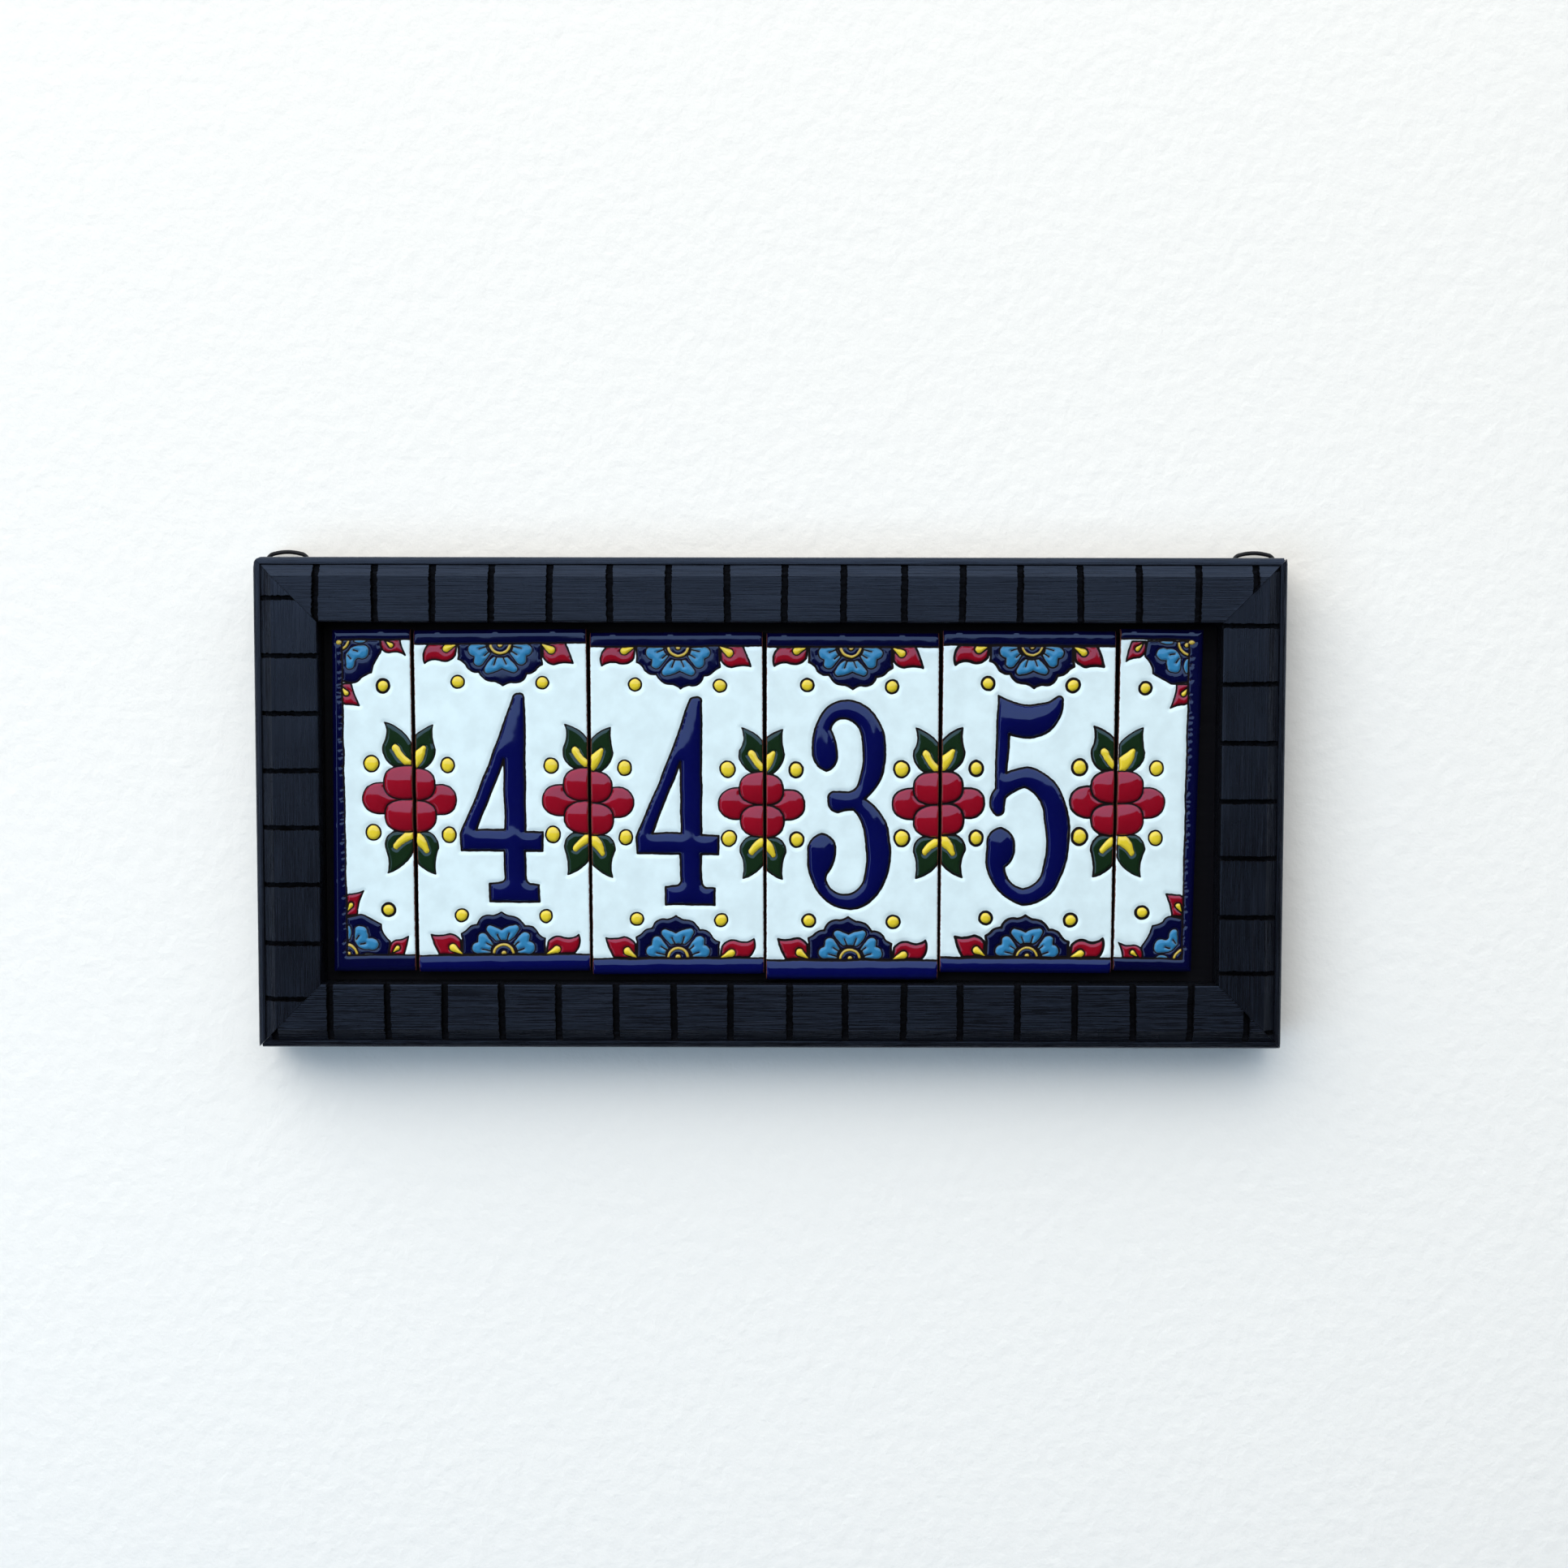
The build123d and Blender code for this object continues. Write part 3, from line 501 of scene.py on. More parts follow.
# The same for the other two corners, where the cut left more of it
wide_corner_fields = [
    field(
        "navy", THICK, (-0.2, 0.2), (13.1, 0.2), (13.5, -2.4, 13.7, -4.6), (12.1, -6.6, 11.3, -8.6),
        (11.25, -9.8), (9.4, -10.8, 6.9, -12.2), (5.2, -13.0, 3.4, -12.7), (1.6, -12.4, -0.2, -12.0),
    ),
    field(
        "sky", FINE, (3.4, -3.6), (5.0, -2.2, 7.2, -2.1), (9.8, -2.4, 10.35, -3.9),
        (9.3, -5.3, 7.2, -5.7), (7.3, -6.6, 7.0, -7.6), (6.3, -9.1, 5.0, -9.5), (3.2, -9.2, 2.75, -7.9),
        (2.7, -6.4, 2.7, -5.0),
    ),
    vein((3.3, -5.0), (4.4, -6.6), CORNER_VEIN),
    vein((4.6, -3.6), (6.4, -4.0), CORNER_VEIN),
    field("sky", FINE, (5.3, 0.2), (9.8, 0.2), (7.6, -0.9, 5.3, -0.5)),
    field("sky", FINE, (0.2, -4.9), (1.1, -5.1), (1.9, -7.4, 1.2, -9.7), (0.2, -9.8)),
    field("gold", THIN, (-0.2, 0.2), (4.0, 0.2), (3.1, -2.9, -0.2, -4.4)),
    field("navy", NONE, (-0.2, 0.2), (3.1, 0.2), (2.3, -2.2, -0.2, -3.4)),
    ("gold", ellipse(0.95, -0.85, 0.85, 0.85), FINE),
    field(
        "red", THICK, (13.8, 0), (17.9, 0), (18.9, -2.6, 19.6, -6.2), (17.6, -5.2, 15.8, -5.0),
        (14.2, -4.0, 13.6, -1.4),
    ),
    ("yellow", teardrop((14.2, -0.5), (16.1, -2.4), 0.9), THIN),
    field(
        "red", THICK, (-0.2, -12.7), (3.9, -13.1), (4.3, -16.3, 5.7, -20.4), (3.4, -19.6, 1.4, -19.4),
        (-0.2, -18.6),
    ),
    ("yellow", teardrop((0.3, -13.6), (1.8, -16.0), 0.85), THIN),
    ("yellow", ellipse(13.5, -14.4, 1.95, 1.95), HEAVY),
]

numeral_outlines = {
    "3": outline(
        (-12.35, 17.2), (-11.8, 23.4, -9.3, 28.7), (-5.9, 31.7, -1.6, 32.85), (2.4, 31.8, 5.8, 29.2),
        (9.0, 24.2, 10.15, 16.5), (8.9, 9.2, 4.0, 2.0), (9.2, -3.3, 11.5, -10.6),
        (11.6, -17.9, 9.9, -23.9), (6.3, -29.2, -0.6, -32.1), (-6.6, -30.4, -10.9, -26.3),
        (-13.3, -20.2, -13.7, -14.6), (-12.2, -10.1, -9.3, -8.55), (-6.7, -9.8, -5.4, -13.2),
        (-5.8, -17.6, -7.7, -21.0), (-8.2, -22.4, -7.8, -24.0), (-5.9, -26.4, -2.5, -27.5),
        (1.4, -26.4, 3.6, -23.3), (4.6, -16.2, 4.0, -8.6), (2.7, -4.2, 0.3, -1.1),
        (-1.9, -1.2, -4.3, -1.9), (-6.9, -0.6, -7.5, 2.0), (-6.9, 3.9, -5.2, 4.4), (-1.2, 4.35),
        (0.6, 5.1, 1.9, 6.8), (3.3, 13.5, 3.0, 21.0), (1.5, 25.0, -2.2, 27.2), (-5.2, 26.4, -6.9, 23.7),
        (-5.3, 20.2, -4.75, 16.3), (-5.6, 12.6, -8.2, 11.0), (-10.9, 12.9, -12.35, 17.2),
    ),
    "4": outline(
        (7.65, 31.9), (7.2, 32.9, 5.9, 33.1), (4.6, 32.9, 3.9, 31.7), (-1.1, 17.9, -12.3, -8.8),
        (-12.75, -10.2), (-12.45, -15.3), (0.8, -15.5), (1.0, -23.4), (0.5, -25.0, -0.9, -25.5),
        (-3.9, -25.8), (-3.8, -31.3), (11.5, -31.5), (11.5, -26.3), (9.6, -26.1),
        (7.9, -25.5, 7.3, -24.0), (7.15, -15.8), (12.7, -15.7), (12.75, -9.85), (7.4, -9.7),
    ),
    "5": outline(
        (-9.75, 33.2), (-0.5, 30.4, 5.7, 31.2), (7.2, 32.1, 8.6, 33.1), (10.0, 32.9, 10.2, 31.4),
        (7.6, 23.9, 0.3, 20.3), (-2.9, 20.5, -6.2, 21.2), (-6.85, 9.2), (-3.8, 10.5, -0.4, 11.1),
        (6.2, 8.2, 10.4, 2.4), (12.4, -4.2, 12.75, -11.0), (11.6, -19.6, 8.6, -26.3),
        (4.4, -30.2, -1.4, -31.7), (-7.0, -29.0, -10.9, -24.2), (-12.6, -19.2, -12.6, -13.9),
        (-11.3, -9.4, -8.5, -7.8), (-5.6, -9.3, -4.1, -13.8), (-4.9, -17.5, -7.3, -20.0),
        (-5.5, -24.5, -1.2, -26.8), (2.7, -24.8, 4.9, -20.4), (5.85, -12.5, 5.2, -4.9),
        (3.2, 1.3, -1.2, 4.85), (-4.4, 3.7, -7.2, 1.4), (-7.5, -1.4), (-8.5, -3.6, -9.8, -3.9),
        (-11.5, -1.7, -11.6, 1.4), (-11.0, 3.1, -10.2, 4.3),
    ),
}
four_counter = outline((1.05, 12.9), (1.15, -9.05), (-7.9, -9.05))
numeral_fields = {digit: [("cobalt", loop, NUMERAL)] for digit, loop in numeral_outlines.items()}
numeral_fields["4"].append(("white", four_counter, NUMERAL))


def depth_inside(loop, u, v):
    """How far each point lies inside an outline; outside it the depth is negative."""
    depth = np.full(u.shape, -REACH)
    low, high = loop.min(0) - REACH, loop.max(0) + REACH
    near = (u > low[0]) & (u < high[0]) & (v > low[1]) & (v < high[1])
    x, y = u[near], v[near]
    nearest = np.full(x.shape, REACH ** 2 * 100)
    inside = np.zeros(x.shape, bool)
    for (ax, ay), (bx, by) in zip(loop, np.roll(loop, -1, 0)):
        dx, dy = bx - ax, by - ay
        along = np.clip(((x - ax) * dx + (y - ay) * dy) / max(dx * dx + dy * dy, 1e-12), 0, 1)
        nearest = np.minimum(nearest, (x - ax - along * dx) ** 2 + (y - ay - along * dy) ** 2)
        if ay != by:
            inside ^= ((ay > y) != (by > y)) & (x < dx * (y - ay) / dy + ax)
    depth[near] = np.maximum(np.where(inside, 1, -1) * np.sqrt(nearest), -REACH)
    return depth


def lay_glazes(fields, u, v, weight):
    """The depth of each point inside every glaze, each field laid over those before it."""
    depth = {glaze: np.full(u.shape, -REACH) for glaze in GLAZES}
    depth["white"] = np.full(u.shape, REACH)
    for glaze, loop, line in fields:
        inside = depth_inside(loop, u, v)
        half_line = line * weight * sizes().line_width / MM / 2
        for other in depth:
            depth[other] = np.minimum(depth[other], -inside - half_line)
        if glaze in depth:
            depth[glaze] = np.maximum(depth[glaze], inside - half_line)
    return depth


# How the tiles were laid: lean to the right in degrees, weight of their lines, and how far right and up
# each group of the pattern wanders
NUMBER_TILES = (
    dict(
        lean=-0.53, weight=1.0, top=(0.0, -0.5), bottom=(-0.25, 0.25),
        left=(-0.25, 0.4), right=(-0.25, -0.2), number=(-0.35, 0.1),
    ),
    dict(
        lean=-0.32, weight=1.0, top=(0.5, -0.5), bottom=(0.0, 0.0),
        left=(0.35, 0.35), right=(0.1, -0.35), number=(0.0, 0.0),
    ),
    dict(
        lean=0.0, weight=1.25, top=(-0.75, -0.4), bottom=(-0.5, 1.2),
        left=(-0.9, 0.5), right=(-0.35, 0.65), number=(0.0, 0.35),
    ),
    dict(
        lean=0.3, weight=1.5, top=(0.75, -0.75), bottom=(0.5, -0.25),
        left=(0.5, -0.4), right=(0.4, -0.1), number=(0.25, -0.1),
    ),
)
END_TILES = (
    dict(
        node="end_tile_left", side=-1, lean=-0.5, bar_widths=(4.0, 2.6), foot=4.7,
        top=(-0.5, 0.25), bottom=(-0.5, -0.25), berries=(-1.6, 0.5),
    ),
    dict(
        node="end_tile_right", side=1, lean=0.7, bar_widths=(2.7, 4.1), foot=3.7,
        top=(0.25, -0.75), bottom=(0.25, -0.25), berries=(1.9, -0.8),
    ),
)

# How far each glaze swells, and the width in millimetres over which it rounds off towards its lines
FULLNESS = dict(cobalt=0.15, navy=0.04, red=0.13, yellow=0.28, green=0.05, sky=0.22, gold=0.3)
SKIN = dict(cobalt=4.0, navy=1.2, red=4.0, yellow=4.0, green=1.2, sky=4.0, gold=4.0)

# How firmly a line holds the glaze down, and how the pool settles step by step
LINE_GRIP, SETTLING_STEPS, MOMENTUM = 60, 220, 0.93

# Unevenness of a tile: size and wavelength in millimetres
LINE_WANDER, LINE_WANDER_WAVE = 0.10, 9
LINE_TREMBLE, LINE_TREMBLE_WAVE = 0.035, 1.7
FACE_SWELL, FACE_SWELL_WAVE = 0.03, 14
FACE_RIPPLE, FACE_RIPPLE_WAVE = 0.006, 4

# Width over which glaze rises from a line, lift of the coloured glazes, and rounding along the joints
GROUND_RISE, BANK_RISE, BANK_LIFT = 1.4, 0.7, 0.12
JOINT_ROUNDING, CORNER_ROUNDING, CORNER_REACH, JOINT_FALL = 0.6, 0.8, 4, 0.8

# The depths that a tile's points carry for the glaze
CARRIED = {
    "glaze_a": ("white", "cobalt", "navy"),
    "glaze_b": ("red", "yellow", "green"),
    "glaze_c": ("sky", "gold", "joint"),
}


def pooled(depth, fullness, skin, pitch, outer_side):
    """How high glaze stands where it has pooled inside its lines, held by its own skin."""
    grip = 1 / skin ** 2 + LINE_GRIP * np.clip(0.5 - depth / pitch, 0, 1)
    push = fullness * np.clip(0.5 + depth / pitch, 0, 1)
    height = np.zeros_like(depth)
    before = height
    for _ in range(SETTLING_STEPS):
        around = np.pad(height, 1)
        if outer_side != -1:
            around[1:-1, 0] = height[:, 0]
        if outer_side != 1:
            around[1:-1, -1] = height[:, -1]
        total = around[:-2, 1:-1] + around[2:, 1:-1] + around[1:-1, :-2] + around[1:-1, 2:]
        settled = (total / pitch ** 2 + push) / (4 / pitch ** 2 + grip)
        height, before = settled + MOMENTUM * (height - before), height
    return height


def glazed_tile(node, left, right, bottom, top, fields, origin, lean=0.0, outer_side=0, weight=1.0):
    """A tile with its relief, which stands for a CAD node. An end tile has an outer side, -1 or 1."""
    size = sizes()
    rows = int((top - bottom) / (size.grid_pitch / MM)) + 1
    columns = int((right(top) - left(top)) / (size.grid_pitch / MM)) + 1
    share, v = np.meshgrid(np.linspace(0, 1, columns), np.linspace(bottom, top, rows))
    u = left(v) + share * (right(v) - left(v))
    seed = size.seed + sum(map(ord, node))
    wander = [
        LINE_WANDER * ripple(u, v, seed + k, LINE_WANDER_WAVE)
        + LINE_TREMBLE * ripple(u, v, seed + 4 + k, LINE_TREMBLE_WAVE)
        for k in (1, 2)
    ]
    depth = lay_glazes(fields, u + wander[0], v + wander[1], weight)
    outer = np.minimum(v - bottom, top - v)
    joint = np.full(u.shape, REACH)
    for side, gap in ((-1, u - left(v)), (1, right(v) - u)):
        if side == outer_side:
            outer = np.minimum(outer, gap)
        else:
            joint = np.minimum(joint, gap)
    sink = size.line_sink / MM
    coloured = np.max([depth[glaze] for glaze in FULLNESS], axis=0)
    fullness, skin = np.zeros_like(u), np.ones_like(u)
    for glaze in FULLNESS:
        here = depth[glaze] >= coloured
        fullness[here], skin[here] = FULLNESS[glaze], SKIN[glaze]
    ground = np.clip(depth["white"] / GROUND_RISE, 0, 1)
    bank = np.clip(coloured / BANK_RISE, 0, 1)
    height = np.maximum(sink * ground * (2 - ground), (sink + BANK_LIFT) * bank * (2 - bank)) - sink
    height += pooled(coloured, fullness, skin, size.grid_pitch / MM, outer_side)
    height += FACE_SWELL * ripple(u, v, seed + 3, FACE_SWELL_WAVE)
    height += FACE_RIPPLE * ripple(u, v, seed + 4, FACE_RIPPLE_WAVE)
    radius, reach = size.roll_radius / MM, size.roll_reach / MM
    rolled = np.clip(reach - outer, 0, reach)
    height -= radius - np.sqrt(radius ** 2 - rolled ** 2)
    rounding = JOINT_ROUNDING + CORNER_ROUNDING * np.clip(1 - outer / CORNER_REACH, 0, 1)
    corner = np.clip(1 - joint / rounding, 0, 1)
    height -= rounding * (1 - np.sqrt(1 - JOINT_FALL * corner * corner))
    c, s = math.cos(lean), math.sin(lean)
    x = origin.x / MM + c * u + s * v
    z = origin.z / MM - s * u + c * v
    face = np.stack([x, origin.y / MM - height, z], -1).reshape(-1, 3)
    index = np.arange(rows * columns).reshape(rows, columns)
    quads = np.stack([index[:-1, :-1], index[:-1, 1:], index[1:, 1:], index[1:, :-1]], -1).reshape(-1, 4)
    rim = np.concatenate([index[0, :-1], index[:-1, -1], index[-1, :0:-1], index[:0:-1, 0]])
    skirt = face[rim]
    foot = skirt.copy()
    foot[:, 1] = (origin.y + size.tile_thickness) / MM
    count = len(rim)
    near = len(face) + np.arange(count)
    far = near + count
    sides = np.stack([np.roll(near, -1), near, far, np.roll(far, -1)], -1)
    points = np.vstack([face, skirt, foot]) * MM
    faces = quads.tolist() + sides.tolist() + [far[::-1].tolist()]
    made = mesh_object("glazed_" + node, points.tolist(), faces)
    made.data.materials.append(bpy.data.materials["glaze"])
    made.data.materials.append(bpy.data.materials["fired_clay"])
    slots = np.ones(len(made.data.polygons), np.int32)
    slots[: len(quads)] = 0
    made.data.polygons.foreach_set("material_index", slots)
    below = np.zeros(2 * count)
    depth["joint"] = joint
    for name, trio in CARRIED.items():
        carry(made, name, np.stack([np.concatenate([depth[key].ravel(), below]) for key in trio], 1))
    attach(made, BODY)
    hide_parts(node)


def glaze_finish():
    """Gloss glazes in fields, thin and greyish along their edges, with dark lines between them, and a painted
    blue tint in their reflections.
    """
    finish = Finish("glaze")
    tint = colours()
    _, white, cobalt, navy = finish.attribute("glaze_a")
    _, red, yellow, green = finish.attribute("glaze_b")
    _, sky, gold, joint = finish.attribute("glaze_c")
    spot = finish.place()
    cloud = finish.noise(spot, 160, 3)
    fine = finish.noise(spot, 900, 2)
    shade = finish.mix(cloud.step(0.3, 0.7), tint.line, (0.0060, 0.0032, 0.0032))
    body = 0.05
    for depth, hue, rim in (
        (white, tint.white, (0.70, 0.84, 0.92)),
        (cobalt, tint.cobalt, (0.010, 0.010, 0.040)),
        (navy, tint.navy, (0.012, 0.011, 0.040)),
        (red, tint.red, (0.085, 0.004, 0.008)),
        (yellow, tint.yellow, (0.50, 0.36, 0.02)),
        (green, tint.green, (0.014, 0.026, 0.014)),
        (sky, tint.sky, (0.10, 0.14, 0.18)),
        (gold, (0.60, 0.46, 0.06), (0.20, 0.12, 0.03)),
    ):
        deep = finish.mix(cloud.step(0.25, 0.75), toned(hue, 0.9), hue)
        glaze = finish.mix((depth + 0.12 * cloud).step(0.05, 0.32), rim, deep)
        cover = depth.step(-0.06, 0.06)
        shade = finish.mix(cover, shade, glaze)
        body = body + cover
    worn = (joint + 0.5 * fine - 0.25).step(0.02, 0.24)
    shade = finish.mix(worn, tint.clay, shade)
    gloss = body.step(0.3, 1.0) * worn
    glossy = finish.coating(
        Base_Color=shade,
        Roughness=0.05 + 0.04 * cloud,
        IOR=1.75,
        # Painted reflection: the blue specular tint gives every reflection in the glaze the colour of a blue
        # sky
        Specular_Tint=(0.42, 0.62, 1.0),
        Normal=finish.bump(fine, 0.00002, 0.2),
    )
    dull = finish.coating(Base_Color=shade, Roughness=0.6, Specular_IOR_Level=0.15)
    return finish.surface(finish.blend(gloss, dull, glossy))


def clay_finish():
    """Bare red clay, darkened by grout and dirt."""
    finish = Finish("fired_clay")
    spot = finish.place()
    grain = finish.noise(spot, 700, 4)
    stain = finish.noise(spot, 90, 3)
    tint = colours().clay
    hue = finish.mix(grain.step(0.3, 0.7), toned(tint, 0.5), tint)
    hue = finish.mix(stain.step(0.45, 0.75), hue, (0.022, 0.011, 0.010))
    relief = finish.bump(grain, 0.0001, 0.8)
    return finish.surface(finish.coating(Base_Color=hue, Roughness=0.75 + 0.2 * grain, Normal=relief))


def upright_size(node, lean):
    """Centre, width and height of a leaning tile, from its box."""
    low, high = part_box(node)
    c, s = math.cos(lean), abs(math.sin(lean))
    wide, tall = high.x - low.x, high.z - low.z
    width = (wide * c - tall * s) / (c * c - s * s)
    height = (tall * c - wide * s) / (c * c - s * s)
    origin = Vector(((low.x + high.x) / 2, high.y - sizes().tile_thickness, (low.z + high.z) / 2))
    return origin, width / MM, height / MM


# How far the fields of the bars and the border run past a tile, in millimetres
BAR_OVERLAP, BORDER_OVERLAP = 9, 120


class PLAQUE_OT_number_tiles(bpy.types.Operator):
    """Glaze the four number tiles"""

    bl_idname = "plaque.number_tiles"
    bl_label = "Number Tiles"

    def execute(self, context):
        size = sizes()
        half_line = size.line_width / MM / 2
        for index, (digit, tile) in enumerate(zip(HOUSE_NUMBER, NUMBER_TILES)):
            node = f"number_tile_{index + 1}"
            lean = math.radians(tile["lean"])
            origin, width, height = upright_size(node, lean)
            half, top = width / 2, height / 2
            upper = top - size.top_bar / MM - half_line + tile["top"][1]
            lower = -top + size.bottom_bar / MM + half_line + tile["bottom"][1]
            far, over = 2 * half, top + BAR_OVERLAP
            numeral = placed(numeral_fields[digit], *tile["number"])
            fields = [
                *placed(bar_fields, x=tile["top"][0], y=upper, turn=180),
                *placed(bar_fields, x=tile["bottom"][0], y=lower + half_line),
                *placed(left_of_joint, x=half + tile["right"][0], y=tile["right"][1]),
                *placed(right_of_joint, x=-half + tile["left"][0], y=tile["left"][1]),
                *[(glaze, loop, line / tile["weight"]) for glaze, loop, line in numeral],
                # Painted shade: the top bar takes the darker navy, not the cobalt of the bottom bar, partly
                # for a darker glaze and partly for the shadow of the top rail
                field("navy", THICK, (-far, upper), (far, upper), (far, over), (-far, over)),
                field("cobalt", THICK, (-far, lower), (far, lower), (far, -over), (-far, -over)),
            ]
            edges = (lambda v, h=half: 0 * v - h, lambda v, h=half: 0 * v + h)
            glazed_tile(node, *edges, -top, top, fields, origin, lean, weight=tile["weight"])
        return {"FINISHED"}


def border_specks(side, side_line, lower, upper):
    """Specks of dark line along the inner edge of a side bar."""
    chance = np.random.default_rng(sizes().seed + side)
    specks = []
    for level in np.arange(lower + 2, upper - 3, 1.9):
        across = side * (side_line + chance.uniform(0.3, 0.9))
        rise = level + chance.uniform(-1.6, 1.6)
        speck = ellipse(across, rise, chance.uniform(0.1, 0.25), chance.uniform(0.15, 0.4))
        specks.append(("line", speck, 0))
    return specks


class PLAQUE_OT_end_tiles(bpy.types.Operator):
    """Glaze the narrow tiles at the ends of the row"""

    bl_idname = "plaque.end_tiles"
    bl_label = "End Tiles"

    field_width: length("Field width", "White field between joint and side bar", 21.5)

    def execute(self, context):
        size = sizes()
        white_width = self.field_width / MM
        half_line = size.line_width / MM / 2
        _, _, height = upright_size("number_tile_1", math.radians(NUMBER_TILES[0]["lean"]))
        top = height / 2
        upper = top - size.end_top_bar / MM - half_line
        side_line = white_width - half_line
        for tile in END_TILES:
            node, side, lean = tile["node"], tile["side"], math.radians(tile["lean"])
            bar_bottom, bar_top = tile["bar_widths"]
            lower = -top + tile["foot"] + half_line
            low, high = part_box(node)
            reach = top * MM * abs(math.sin(lean))
            joint = high.x - reach if side < 0 else low.x + reach
            lift = high.z - top * MM * math.cos(lean)
            origin = Vector((joint, high.y - size.tile_thickness, lift))

            def outer(v, side=side, bar_top=bar_top, bar_bottom=bar_bottom):
                return side * (white_width + bar_bottom + (bar_top - bar_bottom) * (v + top) / (2 * top))

            def inner(v):
                return 0 * v

            wide = BORDER_OVERLAP
            border = outline(
                (-wide, upper), (side_line, upper), (side_line, lower), (-wide, lower),
                (-wide, -wide), (wide, -wide), (wide, wide), (-wide, wide),
            )
            above, below = (close_corner_fields, wide_corner_fields)[::-side]
            below = [(glaze, loop * (1, -1), line) for glaze, loop, line in below]
            across, rise = np.add((side * side_line, upper), tile["top"])
            foot_across, foot_rise = np.add((side * side_line, lower), tile["bottom"])
            dot = ellipse(side * (side_line + 0.8), upper - 0.8, 0.95, 0.75)
            fields = [
                *placed(above, across, rise, mirror=-side),
                *placed(below, foot_across, foot_rise, mirror=-side),
                *placed(left_of_joint if side < 0 else right_of_joint, *tile["berries"]),
                # Painted shade: the whole border, top, side and bottom bars, takes the darker navy in place
                # of cobalt, for the shadow that the rails and stiles cast on it
                ("navy", border * (side, 1), THICK),
                ("gold", dot, NONE),
                *border_specks(side, side_line, lower, upper),
            ]
            edges = (outer, inner) if side < 0 else (inner, outer)
            glazed_tile(node, *edges, -top, top, fields, origin, lean, side)
        return {"FINISHED"}


# The moulding: directions along each rail and outwards, then where the first notch stands and their pitch
RAILS = {
    "top_rail": ((1, 0, 0), (0, 0, 1), 4.8, 18.05),
    "bottom_rail": ((-1, 0, 0), (0, 0, -1), -5.95, 17.76),
    "left_stile": ((0, 0, 1), (-1, 0, 0), -7.6, 17.8),
    "right_stile": ((0, 0, -1), (1, 0, 0), -1.2, 17.9),
}

# Rounding of each rail's outer corners, at its start and its end
CORNER_RADII = {
    "top_rail": (3.0, 1.2),
    "bottom_rail": (0.7, 0.7),
    "left_stile": (0.7, 3.0),
    "right_stile": (1.2, 0.7),
}

# Saw marks in millimetres: wander along the rail, ragged walls, worn floor; the slant is a share of the width
NOTCH_WANDER, NOTCH_RAGGED, NOTCH_WORN, NOTCH_SLANT = 0.35, 0.16, 0.12, 0.02

# Width of a notch in a stile, as a share of one in a rail
STILE_NOTCH = 0.7

# Height and length in millimetres of the waves in the face
FACE_WAVE, FACE_WAVELENGTH = 0.05, 30

# Pitch of the points along a rail, their distance from a notch, and the rows beside a notch's wall
STATION_PITCH, STATION_CLEAR = 1.6, 0.9
WALL_ROWS = (0.75, 0.12, 0.0, -0.4)

# Pitch of the points round the arris and the hollow, slope of the groove's wall and step up to the bead
ARRIS_PITCH, HOLLOW_PITCH, QUIRK_SLOPE, BEAD_STEP = 0.12, 0.45, 0.12, 0.05


def moulding_profile():
    """The section of the moulding as points (outwards, height from the back), front first."""
    size = sizes()
    width, depth = size.rail_width / MM, size.frame_depth / MM
    lip = depth - size.lip_depth / MM
    foot = depth - size.shoulder_drop / MM
    bead_in = width - size.bead_width / MM
    quirk_in = bead_in - size.quirk_width / MM
    flat = quirk_in - size.shoulder_width / MM
    arris = size.arris_radius / MM
    points = [(0, lip + (depth - arris - lip) * t) for t in np.linspace(0, 1, 8)]
    inset = arris * 0.293
    points += arc(points[-1], (inset, depth - inset), (arris, depth), ARRIS_PITCH)
    points += [(arris + (flat - arris) * t, depth) for t in np.linspace(0, 1, 24)[1:]]
    middle = ((flat + quirk_in) / 2, (depth + foot) / 2 - size.shoulder_hollow / MM)
    points += arc(points[-1], middle, (quirk_in, foot), HOLLOW_PITCH)
    points += [(bead_in - QUIRK_SLOPE, foot - size.quirk_depth / MM), (bead_in, foot - BEAD_STEP)]
    bead_low = foot - size.bead_drop / MM
    turns = np.linspace(0, math.pi / 2, 10)[1:]
    bead_width, bead_drop = width - bead_in, foot - bead_low
    points += [(bead_in + bead_width * math.sin(t), foot - bead_drop * (1 - math.cos(t))) for t in turns]
    points += [(width, bead_low * (1 - t)) for t in np.linspace(0, 1, 8)[1:]]
    rabbet = size.rabbet_width / MM
    points += [(width + (rabbet - width) * t, 0) for t in np.linspace(0, 1, 5)[1:]]
    points += [(rabbet, lip / 2), (rabbet, lip), (rabbet / 2, lip)]
    return np.array(points), quirk_in


